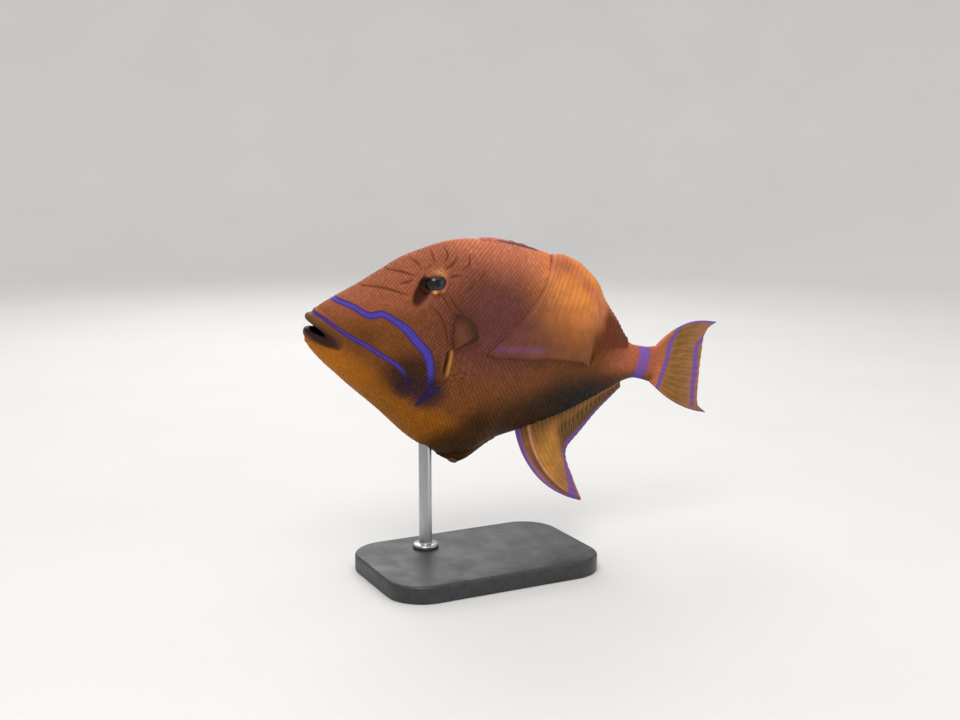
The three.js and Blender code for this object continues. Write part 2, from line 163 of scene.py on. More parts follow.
# %% Mesh helpers
def build(name, points, *face_sets):
    mesh = bpy.data.meshes.new(name)
    face_sets = [f for f in face_sets if len(f)]
    mesh.vertices.add(len(points))
    mesh.vertices.foreach_set("co", np.asarray(points, np.float32).ravel())
    corners = np.concatenate([f.ravel() for f in face_sets]).astype(np.int32)
    sizes = np.concatenate([np.full(len(f), f.shape[1]) for f in face_sets])
    starts = np.concatenate([[0], np.cumsum(sizes)[:-1]]).astype(np.int32)
    mesh.loops.add(len(corners))
    mesh.loops.foreach_set("vertex_index", corners)
    mesh.polygons.add(len(sizes))
    mesh.polygons.foreach_set("loop_start", starts)
    mesh.polygons.foreach_set("use_smooth", np.ones(len(sizes), bool))
    mesh.update(calc_edges=True)
    mesh.validate()
    made = bpy.data.objects.new(name, mesh)
    bpy.context.collection.objects.link(made)
    return made


def facing_out(points, quads, tris):
    """The same faces, turned over if they enclose a negative volume."""
    three = np.concatenate([quads[:, [0, 1, 2]], quads[:, [0, 2, 3]], tris])
    a, b, c = (points[three[:, k]] for k in range(3))
    if np.einsum("ij,ij->i", a, np.cross(b, c)).sum() < 0:
        return quads[:, ::-1], tris[:, ::-1]
    return quads, tris


def loft(rings):
    """Points and faces of a closed form through rings of equal count."""
    n, m = rings.shape[:2]
    at = np.arange(n * m).reshape(n, m)
    turn = np.roll(at, -1, axis=1)
    quads = np.stack([at[:-1], turn[:-1], turn[1:], at[1:]], -1).reshape(-1, 4)
    hubs = np.full((2, m), [[n * m], [n * m + 1]])
    tris = np.concatenate([np.stack([turn[0], at[0], hubs[0]], -1),
                           np.stack([at[-1], turn[-1], hubs[1]], -1)])
    points = np.concatenate([rings.reshape(-1, 3), [rings[0].mean(0), rings[-1].mean(0)]])
    return points, *facing_out(points, quads, tris)


def sampled(knots, count):
    """A smooth line of count points through a few knots."""
    knots = np.array(knots, float)
    gap = np.linalg.norm(np.diff(knots, axis=0), axis=1)
    where = np.concatenate([[0], np.cumsum(gap)])
    slope = np.gradient(knots, where, axis=0)
    s = np.linspace(0, where[-1], count)
    i = np.clip(np.searchsorted(where, s) - 1, 0, len(knots) - 2)
    h = (where[i + 1] - where[i])[:, None]
    t = (s - where[i])[:, None] / h
    start = (1 + 2 * t) * (1 - t) ** 2 * knots[i] + t * (1 - t) ** 2 * h * slope[i]
    end = t * t * (3 - 2 * t) * knots[i + 1] + t * t * (t - 1) * h * slope[i + 1]
    return start + end


def tube(path, wide, high, around, up=(0, 0, 1)):
    """A rod of oval section along a path, its radii given point by point."""
    ahead = np.gradient(path, axis=0)
    side = np.cross(ahead, up)
    side /= np.linalg.norm(side, axis=1)[:, None]
    top = np.cross(side, ahead)
    top /= np.linalg.norm(top, axis=1)[:, None]
    a = np.linspace(0, 2 * math.pi, around, endpoint=False)[None, :, None]
    wide, high = (np.broadcast_to(r, len(path))[:, None, None] for r in (wide, high))
    rings = path[:, None] + side[:, None] * np.cos(a) * wide + top[:, None] * np.sin(a) * high
    return loft(rings)


def oval(centre, radii, degrees=0.0):
    """A closed ball, stretched and turned."""
    fine = 40
    lat = np.linspace(-math.pi / 2, math.pi / 2, fine // 2 + 1)[1:-1]
    lon = np.linspace(0, 2 * math.pi, fine, endpoint=False)
    rings = np.stack([np.cos(lat)[:, None] * np.cos(lon), np.cos(lat)[:, None] * np.sin(lon),
                      np.sin(lat)[:, None] + 0 * lon], -1)
    points, quads, tris = loft(rings)
    points[-2:] = [[0, 0, -1], [0, 0, 1]]
    return points * radii @ turning("Y", degrees).T + centre, quads, tris


print("helpers ready")

# %% [markdown]
# ## The lie of the surface
# Scales sit in rows, and rows follow the skin, not the picture plane. Each flank is
# therefore measured off like cloth: the station x runs along it, and w is the
# distance in millimetres over the curve of the body from its middle line, upwards
# positive. A table turned round gives the point for any pair of x and w.

# %% Measuring over the curve
STATIONS = np.linspace(0.021, 1.03, 412)
ANGLES = np.linspace(-math.pi / 2, math.pi / 2, 361)


def coated_point(x, angle):
    """The body under its coat, carried on over the root of the tail."""
    made = body_point(x, angle, -COAT)
    v = np.clip((x - 0.9862) / 0.19, 0, 1)
    root = lerp(-0.043, -0.128, 1 - (1 - v) ** 1.8), lerp(0.05, 0.137, 1 - (1 - v) ** 2.25)
    middle, half = (root[1] + root[0]) / 2, (root[1] - root[0]) / 2
    thick = lerp(0.0085, 0.003, smooth(0.98, 1.03, x))
    c, s = np.cos(angle), np.sin(angle)
    flat = np.stack([x * LENGTH + 0 * c, thick * LENGTH * np.sign(c) * np.abs(c) ** 0.8,
                     (middle + half * s) * LENGTH], -1)
    return lerp(made, flat, smooth(0.972, 0.992, x)[..., None])


sections = coated_point(STATIONS[:, None], ANGLES[None, :])
steps_over = np.linalg.norm(np.diff(sections[..., 1:], axis=1), axis=2)
RUN = np.concatenate([np.zeros((len(STATIONS), 1)), np.cumsum(steps_over, axis=1)], axis=1)
RUN -= RUN[:, [len(ANGLES) // 2]]
SHARES = np.linspace(-1, 1, 161)
ANGLE_OF = np.array([np.interp(np.where(SHARES < 0, -SHARES * row[0], SHARES * row[-1]), row,
                               ANGLES) for row in RUN])


def reach(x, upward):
    """How far it is over the curve from the middle line to the back or belly."""
    return np.where(upward, np.interp(x, STATIONS, RUN[:, -1]),
                    -np.interp(x, STATIONS, RUN[:, 0]))


def over_body(x, w, side):
    """The point at station x and distance w over the curve, on the side -1 or 1."""
    share = w / reach(x, w > 0)
    past = np.abs(share) > 1
    near = np.where(past, np.sign(share) * (2 - np.abs(share)), share)
    fx = np.clip((x - STATIONS[0]) / (STATIONS[1] - STATIONS[0]), 0, len(STATIONS) - 1.001)
    fy = np.clip((near + 1) / (SHARES[1] - SHARES[0]), 0, len(SHARES) - 1.001)
    i, j = fx.astype(int), fy.astype(int)
    u, v = fx - i, fy - j
    angle = ((1 - u) * ((1 - v) * ANGLE_OF[i, j] + v * ANGLE_OF[i, j + 1])
             + u * ((1 - v) * ANGLE_OF[i + 1, j] + v * ANGLE_OF[i + 1, j + 1]))
    angle = np.where(past, np.sign(angle) * math.pi - angle, angle)
    made = coated_point(x, angle)
    made[..., 1] *= side
    return made


print("round the deepest section:", round(float(2 * reach(0.45, True)
                                                + 2 * reach(0.45, False)), 1), "mm")

# %% [markdown]
# ## Where the markings lie
# The face of this fish carries two curved blue-violet bands, a fan of fine dark
# lines about the eye and a violet ring before the tail. Painting them as an image
# would tie them to one view. Instead every point of the skin and of every plate
# asks how far it is, in millimetres, from a drawn line. A distance blends evenly
# between points, so even a coarse mesh gives a band with a clean edge.

# %% Bands and lines of the face
UPPER_BAND = [(0.068, 0.079), (0.108, 0.074), (0.145, 0.063), (0.168, 0.072), (0.2, 0.062),
              (0.232, 0.046), (0.26, 0.022), (0.287, 0.001), (0.305, -0.027),
              (0.317, -0.062), (0.323, -0.093), (0.313, -0.135)]
LOWER_BAND = [(0.02, 0.041), (0.043, 0.038), (0.073, 0.024), (0.108, 0.008), (0.153, -0.008),
              (0.198, -0.029), (0.233, -0.045), (0.258, -0.068), (0.275, -0.101)]
PATCH = [(0.348, -0.082), (0.338, -0.093), (0.326, -0.104), (0.316, -0.122), (0.307, -0.142)]
FACE_BANDS = ((sampled(UPPER_BAND, 40), (3.2, 4.6, 4.8, 6.4, 6.6, 5.2, 2.8)),
              (sampled(LOWER_BAND, 34), (2.4, 3.0, 3.6, 3.4, 1.8)),
              (PATCH, (2.0, 5.0, 7.0, 5.5, 2.0)))
ROOT_BAND = [(1.04, 0.115), (1.022, 0.065), (1.025, 0.02), (1.022, -0.029), (1.018, -0.085)]
MARGIN_BAND = [(1.136, 0.106), (1.112, 0.065), (1.118, 0.028), (1.124, -0.003),
               (1.129, -0.046), (1.148, -0.102)]
TAIL_BANDS = ((sampled(ROOT_BAND, 20), (3.4, 4.6, 5.0, 4.2, 3.0)),
              (sampled(MARGIN_BAND, 20), (2.6, 3.8, 4.4, 3.8, 2.6)))
RING_AT, RING_HALF, RING_BOW, RING_MIDDLE = 0.9455 * LENGTH, 5.3, 0.004, 2
GILL_SHADOW = [(0.332, -0.083), (0.344, -0.08), (0.353, -0.073), (0.36, -0.062)]
DARK_LINES = [
    [(0.125, 0.119), (0.163, 0.127), (0.223, 0.124)],
    [(0.178, 0.165), (0.21, 0.169), (0.238, 0.167)],
    [(0.205, 0.144), (0.222, 0.152), (0.232, 0.157)],
    [(0.227, 0.2), (0.243, 0.193), (0.252, 0.183)],
    [(0.275, 0.226), (0.282, 0.203)],
    [(0.305, 0.238), (0.312, 0.222), (0.306, 0.208)],
    [(0.335, 0.224), (0.322, 0.205), (0.307, 0.193)],
    [(0.365, 0.234), (0.365, 0.212), (0.348, 0.198)],
    [(0.315, 0.175), (0.33, 0.182), (0.345, 0.186)],
    [(0.407, 0.201), (0.4, 0.189), (0.393, 0.18)],
    [(0.383, 0.177), (0.372, 0.16), (0.358, 0.148)],
    [(0.277, 0.108), (0.3, 0.094), (0.32, 0.068), (0.333, 0.038), (0.334, -0.003)],
    [(0.318, 0.138), (0.34, 0.116), (0.357, 0.102)],
    [(0.3, 0.136), (0.318, 0.118), (0.328, 0.104)],
]


def distance_to(points, line, widths):
    """Half width less distance, in mm, from points (x, z) to a line: above 0 inside."""
    line = np.asarray(line, float) * LENGTH
    widths = np.interp(np.linspace(0, 1, len(line)), np.linspace(0, 1, len(widths)), widths)
    best = np.full(len(points), -1e3)
    for a, b, wa, wb in zip(line[:-1], line[1:], widths[:-1], widths[1:]):
        d = b - a
        t = np.clip(((points - a) @ d) / (d @ d), 0, 1)
        away = np.linalg.norm(points - a - t[:, None] * d, axis=1)
        best = np.maximum(best, lerp(wa, wb, t) / 2 - away)
    return best


def below(points, line):
    """How far points lie under a line that runs along the fish, in mm."""
    xs, zs = np.array(line, float).T * LENGTH
    return np.interp(points[:, 0], xs, zs) - points[:, 1]


def spot(points, centre, radii):
    """1 in the middle of an oval, falling to 0 at its edge."""
    off = (points - np.array(centre) * LENGTH) / (np.array(radii) * LENGTH)
    return 1 - smooth(0.0, 1.0, np.linalg.norm(off, axis=1))


def nearest_band(points, bands):
    """Half width less distance to the nearest of several bands: above 0 inside."""
    return np.max([distance_to(points, line, widths) for line, widths in bands], axis=0)


HEAD_TOP = [(0.0, 0.03), (0.1, 0.06), (0.2, 0.075), (0.3, 0.11), (0.4, 0.2), (0.5, 0.26),
            (1.1, 0.3)]
CREST = [(0.0, 0.16), (0.1, 0.18), (0.2, 0.235), (0.3, 0.26), (0.38, 0.232), (0.45, 0.195),
         (0.55, 0.185), (0.64, 0.15), (1.1, 0.0)]
JAW = [(0.0, -0.005), (0.1, -0.02), (0.2, -0.072), (0.27, -0.118), (0.4, -0.165),
       (0.5, -0.205), (0.6, -0.23), (1.1, -0.25)]
BELLY_SIDE = [(0.0, -0.6), (0.3, -0.32), (0.38, -0.22), (0.47, -0.127), (0.55, -0.102),
              (0.62, -0.075), (0.69, -0.045), (0.8, -0.036), (0.92, -0.038), (1.02, -0.07),
              (1.2, -0.3)]
FACE_END, TAIL_START = 0.5 * LENGTH, 0.97 * LENGTH


def markings(fish_points):
    """All that the paint needs to know about points of the upright fish, in mm."""
    p = fish_points[:, [0, 2]]
    along = p[:, 0] / LENGTH
    front, rear = p[:, 0] < FACE_END, p[:, 0] > TAIL_START
    violet, lines_and_gill_shadow = np.full((2, len(p)), -9.0)
    violet[front] = nearest_band(p[front], FACE_BANDS)
    violet[rear] = np.maximum(violet[rear], nearest_band(p[rear], TAIL_BANDS))
    ring = RING_HALF - np.abs(p[:, 0] - RING_AT + RING_BOW * (p[:, 1] - RING_MIDDLE) ** 2)
    lines = [(sampled(k, 12), (0.6, 1.6, 0.7)) for k in DARK_LINES]
    # Dark lines of the face, and the painted shadow behind the gill opening.
    lines_and_gill_shadow[front] = nearest_band(p[front], lines + [(sampled(GILL_SHADOW, 12), (0.8, 2.8, 1.6))])
    gold = smooth(-6.0, 13.0, below(p, JAW))
    # Painted shade: the belly and the rear underside are darkened below the line BELLY_SIDE.
    belly_shade = smooth(-13.0, 19.0, below(p, BELLY_SIDE))
    return {
        "violet": np.maximum(violet, ring),
        "lines_and_gill_shadow": lines_and_gill_shadow,
        # The head top is a duller brown than the back: partly its own tone, partly painted
        # half-shade.
        "tawny": smooth(-10.0, 12.0, -below(p, HEAD_TOP)),
        # The pinkish top of the back: partly its own tone, partly painted top light.
        "coral": smooth(-15.0, 13.0, -below(p, CREST)),
        "plum": 1.1 * spot(p, (0.46, 0.09), (0.3, 0.235)),
        "amber": spot(p, (0.69, 0.2), (0.2, 0.19)),
        "rose": smooth(0.79, 0.88, along) * smooth(6.0, -8.0, -0.03 * LENGTH - p[:, 1]),
        "gold": gold,
        # The gold of the throat and breast, dulled towards the rear: partly painted shade.
        "ochre": gold * smooth(0.07, 0.24, along),
        # A painted highlight on the brow above the eye.
        "brow_highlight": spot(p, (0.296, 0.185), (0.028, 0.017)),
        # Two painted highlights on the lower lid.
        "lid_highlight": np.maximum(spot(p, (0.281, 0.141), (0.0085, 0.007)),
                            0.8 * spot(p, (0.303, 0.1455), (0.0075, 0.006))),
        "shade": smooth(0.0, 1.0, np.maximum(1.1 * spot(p, (0.268, -0.062), (0.125, 0.1)),
                                             0.45 * spot(p, (0.14, 0.01), (0.08, 0.06)))),
        # Painted shade in dark violet on the lower cheek, over the lower ends of the bands and round
        # the patch.
        "violet_shade": smooth(0.0, 1.0, 1.3 * np.maximum(spot(p, (0.323, -0.106), (0.075, 0.07)),
                                                  spot(p, (0.268, -0.095), (0.05, 0.06)))),
        # Painted shade under the belly, deepest under the rear of the body.
        "belly_shade": belly_shade,
        "rear_belly_shade": belly_shade * smooth(0.54, 0.78, along),
    }


print("lines drawn on the face:", len(DARK_LINES) + len(FACE_BANDS) + 1)

# %% [markdown]
# ## The mouth
# The mouth is small, at the very tip, between two thick fleshy lips. Each lip is a
# tube of oval section that follows the jaw from one corner round the snout to the
# other, thick in front and thin at the corners. The tubes are only raw clay here:
# they melt into the skin later on, which leaves a crease, not a seam.

# %% Lips
UPPER_LINE = [(0.086, 0.05, -0.007), (0.069, 0.0445, 0.004), (0.048, 0.0355, 0.015),
              (0.03, 0.02, 0.0235), (0.0235, 0.0, 0.0265)]
LOWER_LINE = [(0.085, 0.049, -0.0175), (0.068, 0.0415, -0.0165), (0.05, 0.032, -0.014),
              (0.033, 0.0185, -0.0115), (0.027, 0.0, -0.0105)]


def jaw_line(line, count=64):
    """One side's knots, mirrored to run round the snout, in mm."""
    left = [(x, -y, z) for x, y, z in line]
    return sampled(np.array(left + line[-2::-1]) * LENGTH, count)


def lip(line, high, deep):
    """One lip as a closed tube, full in front and thin at its corners."""
    path = jaw_line(line)
    full = 0.3 + 0.7 * np.sin(math.pi * np.linspace(0, 1, len(path))) ** 0.55
    return tube(path, deep * full, high * full, 20)


lips = [lip(UPPER_LINE, 2.6, 2.5), lip(LOWER_LINE, 3.3, 2.7)]
print("lip points:", sum(len(k[0]) for k in lips))

# %% [markdown]
# ## Fins as functions
# A fin is a sheet that two numbers describe: u runs along its base and v out to its
# margin. The same functions as in the solids give the middle of the sheet. The soft
# back fin rises and turns ever further over to the fish's left. The fin under the
# tail swings out to the left at the front and hangs straight at the rear.

# %% Fin sheets
dorsal_ray = profile([(0, 0.275), (0.08, 0.296), (0.2, 0.3), (0.36, 0.276), (0.52, 0.238),
                      (0.62, 0.185), (0.72, 0.115), (1, 0.04)])
dorsal_bend = profile([(0, 0.009), (0.05, 0.02), (0.15, 0.034), (0.3, 0.047), (0.42, 0.047),
                       (0.51, 0.037), (0.58, 0.022), (0.68, 0.0135), (0.8, 0.01), (1, 0.008)])
dorsal_turn = profile([(0, 157), (0.15, 166), (0.35, 171), (0.58, 171), (0.7, 158),
                       (0.85, 140), (1, 120)])
dorsal_lean = profile([(0, -0.57), (0.1, -0.46), (0.3, -0.2), (0.52, -0.02), (0.75, -0.2),
                       (1, -0.3)])


def dorsal_point(u, v):
    long, steps = dorsal_ray(u) * v, 24
    out, up = np.zeros_like(long), np.zeros_like(long)
    for i in range(steps):
        s = long * (i + 0.5) / steps
        turned = 1 - np.exp(-((s / dorsal_bend(u)) ** 1.5)) * (1 - 0.25 * s)
        a = np.radians(dorsal_turn(u)) * turned
        out, up = out + np.sin(a) * long / steps, up + np.cos(a) * long / steps
    x = lerp(0.6, 0.885, u)
    foot = back(x) - 0.004 - 0.005 * (1 - smooth(0.0, 0.12, u))
    along, z = dorsal_lean(u) * long * (0.3 + 0.7 * v), foot + up
    hug = 0.94 * (1 - smooth(0.05, 0.42, u)) * smooth(0.1, 0.34, v)
    out = lerp(out, flank(x + along, z) + 0.001 + 0.0025 * smooth(0.0, 0.05, u), hug)
    return np.stack([x + along, -out, z], -1) * LENGTH


anal_ray = profile([(0, 0.27), (0.12, 0.255), (0.28, 0.17), (0.42, 0.112), (0.6, 0.085),
                    (0.78, 0.052), (1, 0.02)])
anal_swing = profile([(0, 32), (0.25, 28), (0.5, 12), (1, -4)])
anal_sweep = profile([(0, 16), (0.25, 14), (0.5, 8), (1, 20)])
anal_hook = profile([(0, 68), (0.25, 42), (0.5, 12), (1, 10)])


def anal_point(u, v):
    aft, down, steps = 0.0, 0.0, 12
    for i in range(steps):
        s = v * (i + 0.5) / steps
        a = np.radians(anal_sweep(u) + anal_hook(u) * s ** 1.2)
        aft = aft + anal_ray(u) * v * np.sin(a) / steps
        down = down + anal_ray(u) * v * np.cos(a) / steps
    x = lerp(0.63, 0.9, u)
    swing = np.radians(anal_swing(u)) * (0.6 + 0.4 * v)
    return np.stack([x + aft, -down * np.sin(swing),
                     belly(x) + 0.004 - down * np.cos(swing)], -1) * LENGTH


tail_margin = profile([(-1, 1.205), (-0.8, 1.166), (-0.4, 1.148), (0, 1.14), (0.35, 1.134),
                       (0.7, 1.126), (0.88, 1.132), (1, 1.15)])


def tail_point(u, v):
    s = lerp(-1, 1, u)
    x = lerp(0.9862, tail_margin(s), v)
    spread = 1 - (1 - v) ** np.where(s > 0, 3.2, 2.0)
    foot, tip = np.where(s > 0, 0.053, 0.043) * s, np.where(s > 0, 0.137, 0.12) * s
    return np.stack([x, 0.006 * np.sin(math.pi * s) * v, lerp(foot, tip, spread)], -1) * LENGTH


def pectoral_point(u, v, side):
    angle = np.radians(lerp(106, 36, u))
    long = 0.071 * (1 - 0.17 * (1.9 * u - 0.95) ** 2) * v
    foot_x, foot_z = 0.352 + 0.008 * (u - 0.5), 0.03 - 0.034 * (u - 0.5)
    flare = 0.0045 + long * 0.24 - 0.6 * long * long
    return np.stack([foot_x + long * np.cos(angle), side * (flank(foot_x, foot_z) + flare),
                     foot_z + long * np.sin(angle)], -1) * LENGTH


def flap_point(u, v):
    x = lerp(0.425, 0.575, u)
    drop = np.where(u < 0.4, u / 0.4, (1 - u) / 0.6)
    low = -0.005 - 0.023 * drop ** 1.1
    return np.stack([x, 0 * x, belly(x) + lerp(0.01, low, v)], -1) * LENGTH


print("longest back ray:", round(float(dorsal_ray(0.1)) * LENGTH, 1), "mm")

# %% [markdown]
# ## Sheets with a thickness
# A membrane has two faces and an edge, so a sheet of points becomes a closed form:
# the points are moved half the thickness both ways along the normal, and a strip
# joins the two rims. The same helper makes the fins and the raw clay of the pelvic
# flap and the tail root.


# %% Sheets
def across_sheet(middle):
    """Unit normals of a grid of points."""
    du, dv = np.gradient(middle, axis=0), np.gradient(middle, axis=1)
    normal = np.cross(du, dv)
    return normal / np.maximum(np.linalg.norm(normal, axis=-1), 1e-9)[..., None]


def slab(middle, depth):
    """A closed form from a grid of middle points and a depth for each, in mm."""
    n, m = middle.shape[:2]
    off = across_sheet(middle) * depth[..., None] / 2
    points = np.concatenate([(middle - off).reshape(-1, 3), (middle + off).reshape(-1, 3)])
    at = np.arange(n * m).reshape(n, m)
    one = np.stack([at[:-1, :-1], at[:-1, 1:], at[1:, 1:], at[1:, :-1]], -1).reshape(-1, 4)
    rim = np.concatenate([at[0, :-1], at[:-1, -1], at[-1, :0:-1], at[:0:-1, 0]])
    ahead = np.roll(rim, -1)
    edge = np.stack([rim, rim + n * m, ahead + n * m, ahead], -1)
    quads = np.concatenate([one, one[:, ::-1] + n * m, edge])
    return points, *facing_out(points, quads, np.zeros((0, 3), int))


def grid(across, along):
    return np.meshgrid(np.linspace(0, 1, across + 1), np.linspace(0, 1, along + 1),
                       indexing="ij")


u, v = grid(60, 14)
flap_depth = lerp(8.5, 2.2, v) * (0.45 + 0.55 * np.sin(math.pi * np.clip(u, 0.05, 0.95)))
flap_depth += 0.5 * v * np.cos(2 * math.pi * (u * 13 + 0.6 * v))
flap = slab(flap_point(u, v), flap_depth)
u, v = grid(40, 14)
root_end = 0.26 - 0.15 * (2 * u - 1) ** 2
tail_root = slab(tail_point(u, v * root_end), lerp(4.8, 1.3, v ** 0.8))
print("flap and tail root:", len(flap[0]) + len(tail_root[0]), "points")

# %% [markdown]
# ## One skin
# A fish has no joins, so head, trunk, tail stalk, lips, brow and flap are to be one
# surface. Modelling that by hand would take weeks. The quick way is a voxel remesh:
# rough closed forms that pass into each other are laid together, hollows are cut
# from them with booleans, and the Remesh modifier wraps the lot in one even net of
# squares. The little steps it leaves are relaxed away afterwards.


# %% Eye sockets and brows
def outward(x, z, side):
    """The direction that the flank faces."""
    e = 0.004
    slope_x = (flank(x + e, z) - flank(x - e, z)) / (2 * e)
    slope_z = (flank(x, z + e) - flank(x, z - e)) / (2 * e)
    normal = np.array([-slope_x, side, -slope_z])
    return normal / np.linalg.norm(normal)


def eye_centre(side):
    x, z = EYE_AT
    at = np.array([x, side * float(flank(x, z)), z]) * LENGTH
    return at + outward(x, z, side) * (EYE_PROUD - EYE_RADIUS)


def eye_frame(side):
    """Forward, upward and outward directions at the eye, as rows."""
    out = outward(*EYE_AT, side)
    fore = np.array([-1.0, 0.0, 0.0])
    fore -= out * (fore @ out)
    fore /= np.linalg.norm(fore)
    up = np.cross(out, fore)
    up *= np.sign(up[2])
    return np.array([fore, up, out])


RIM_LONG, RIM_HIGH, RIM_SLANT, RIM_LIFT = 7.25, 5.85, math.radians(14), 0.65


def eye_rim(side):
    """The fleshy lids: a ring longer than high, thicker above, that slants up behind."""
    fore, up, out = eye_frame(side)
    a = np.linspace(0, 2 * math.pi, 97)[:-1]
    long_way = math.cos(RIM_SLANT) * fore - math.sin(RIM_SLANT) * up
    high_way = math.sin(RIM_SLANT) * fore + math.cos(RIM_SLANT) * up
    off = RIM_LONG * np.cos(a)[:, None] * long_way + RIM_HIGH * np.sin(a)[:, None] * high_way
    ring = np.linalg.norm(off, axis=1)[:, None]
    path = eye_centre(side) + off + out * (np.sqrt(EYE_RADIUS ** 2 - ring ** 2) + RIM_LIFT)
    fat = 1.35 + 0.5 * np.maximum(0, np.sin(a + 0.4)) + 0.12 * np.cos(9 * a)
    k = np.linspace(0, 2 * math.pi, 14, endpoint=False)[None, :, None]
    away = off / ring
    rings = path[:, None] + fat[:, None, None] * (np.cos(k) * away[:, None] + np.sin(k) * out)
    n, m = rings.shape[:2]
    at = np.arange(n * m).reshape(n, m)
    quads = np.stack([at, np.roll(at, -1, 1), np.roll(np.roll(at, -1, 1), -1, 0),
                      np.roll(at, -1, 0)], -1).reshape(-1, 4)
    points = rings.reshape(-1, 3)
    return points, *facing_out(points - points.mean(0), quads, np.zeros((0, 3), int))


print("eye centre, left:", eye_centre(-1).round(1).tolist(), "mm")

# %% Raw clay
x = np.linspace(0, 1, 221)
x = lerp(0.021, 0.985, 0.72 * x + 0.28 * x * x)
around = np.linspace(0, 2 * math.pi, 160, endpoint=False)
body = loft(body_point(x[:, None], around[None, :], -COAT))


def ridge(first, last, height_of, sink, radius):
    """A fleshy ridge at the foot of a fin, along the back or the belly."""
    s = np.linspace(0, 1, 60)
    xs = lerp(first, last, s)
    path = np.stack([xs, 0 * xs, height_of(xs) + sink], -1) * LENGTH
    fat = radius * np.sin(math.pi * np.clip(s, 0.03, 0.97)) ** 0.4
    return tube(path, fat, fat, 16, (0, 1, 0))


GAPE, GAPE_TILT = np.array([0.02, 0, 0.007]) * LENGTH, 18
clay = lips + [flap, tail_root, eye_rim(-1), eye_rim(1),
               ridge(0.592, 0.895, back, -0.0045, 2.5), ridge(0.618, 0.912, belly, 0.004, 2.4)]
cuts = [oval(eye_centre(side), [EYE_RADIUS + 0.1] * 3) for side in (-1, 1)]
cuts.append(oval(GAPE, [19, 13.5, 3.3], GAPE_TILT))


def settled(made):
    """Applies an object's modifiers by keeping the mesh that they show."""
    graph = bpy.context.evaluated_depsgraph_get()
    mesh = bpy.data.meshes.new_from_object(made.evaluated_get(graph))
    old, made.data = made.data, mesh
    made.modifiers.clear()
    bpy.data.meshes.remove(old)
    return made


skin = build("skin", body[0] * MM, *body[1:])
for shape in cuts:
    cutter = build("cutter", shape[0] * MM, *shape[1:])
    cut = skin.modifiers.new("cut", "BOOLEAN")
    cut.operation, cut.solver, cut.object = "DIFFERENCE", "MANIFOLD", cutter
    settled(skin)
    bpy.data.objects.remove(cutter)
print("clay pieces:", len(clay) + 1, "hollows:", len(cuts))


# %% Wrap it in one net
def arrays(made):
    """Points and edges of an object's mesh."""
    mesh = made.data
    points = np.empty(len(mesh.vertices) * 3, np.float32)
    mesh.vertices.foreach_get("co", points)
    edges = np.empty(len(mesh.edges) * 2, np.int32)
    mesh.edges.foreach_get("vertices", edges)
    return points.reshape(-1, 3).astype(float), edges.reshape(-1, 2)


def joined(name, parts):
    """One mesh from several sets of points, quads and triangles."""
    quads, tris, points, base = [], [], [], 0
    for p, q, t in parts:
        points.append(p)
        quads.append(q + base)
        tris.append(t + base)
        base += len(p)
    return build(name, np.concatenate(points), np.concatenate(quads), np.concatenate(tris))


def melted(first, others, voxel):
    """The first object and the other forms as one even net."""
    extra = joined("extra", [(p * MM, q, t) for p, q, t in others])
    with bpy.context.temp_override(active_object=first, object=first,
                                   selected_editable_objects=[first, extra],
                                   selected_objects=[first, extra]):
        bpy.ops.object.join()
    net = first.modifiers.new("net", "REMESH")
    net.mode, net.voxel_size, net.use_smooth_shade = "VOXEL", voxel * MM, True
    return settled(first)


VOXEL = 0.8
skin = melted(skin, clay, VOXEL)
print("skin faces:", len(skin.data.polygons))

# %% [markdown]
# ## Folds
# Wrapping gives an even net but soft forms. Finer shaping comes next: every point is
# relaxed a little, then moved along its normal by what that place of the fish needs.
# There are folds round the lips, a bare hollow in front of the eye, the gill opening
# with its raised rim, nostrils and grooves under the dark lines. Each is a short
# formula in millimetres from a known place.


# %% Relaxing and normals
RELAX = 0.5


def relaxed(points, edges, rounds):
    """Points drawn to the middle of their neighbours and pushed out again by turns."""
    a, b = edges.T
    count = np.bincount(a, minlength=len(points)) + np.bincount(b, minlength=len(points))
    for turn in range(rounds):
        step = RELAX if turn % 2 == 0 else -RELAX * 1.02
        around_it = np.stack([np.bincount(a, points[b, k], len(points))
                              + np.bincount(b, points[a, k], len(points))
                              for k in range(3)], -1)
        points = points + step * (around_it / count[:, None] - points)
    return points


def normals_of(made):
    out = np.empty(len(made.data.vertices) * 3, np.float32)
    made.data.vertex_normals.foreach_get("vector", out)
    return out.reshape(-1, 3).astype(float)


def set_points(made, points):
    made.data.vertices.foreach_set("co", points.astype(np.float32).ravel())
    made.data.update()


points, edges = arrays(skin)
points = relaxed(points / MM, edges, 6)
set_points(skin, points)
print("relaxed", len(points), "points")


# %% Folds of the face and the flank
HOLLOW, HOLLOW_LONG, HOLLOW_WIDE = (0.2555, 0.134, 24), 12.0, 5.6
GILL_SLIT, SLIT_HALF = (0.347, -0.0225, -4), 9.6
NOSTRILS = ((0.262, 0.184), (0.2695, 0.1905))


def in_frame(points, x, z, degrees):
    """Offsets from a place on the flank, turned: along and across, in mm."""
    off = points[:, [0, 2]] - np.array([x, z]) * LENGTH
    c, s = math.cos(math.radians(degrees)), math.sin(math.radians(degrees))
    return off @ np.array([[s, c], [c, -s]])


def lip_distance(points):
    return np.min([np.min(np.linalg.norm(points[:, None] - jaw_line(k, 24)[None], axis=2), 1)
                   for k in (UPPER_LINE, LOWER_LINE)], axis=0)


def mouth_distance(points):
    """Distance to the lips in mm, worked out for the front of the head only."""
    far = np.full(len(points), 99.0)
    near = points[:, 0] < 0.2 * LENGTH
    far[near] = lip_distance(points[near])
    return far


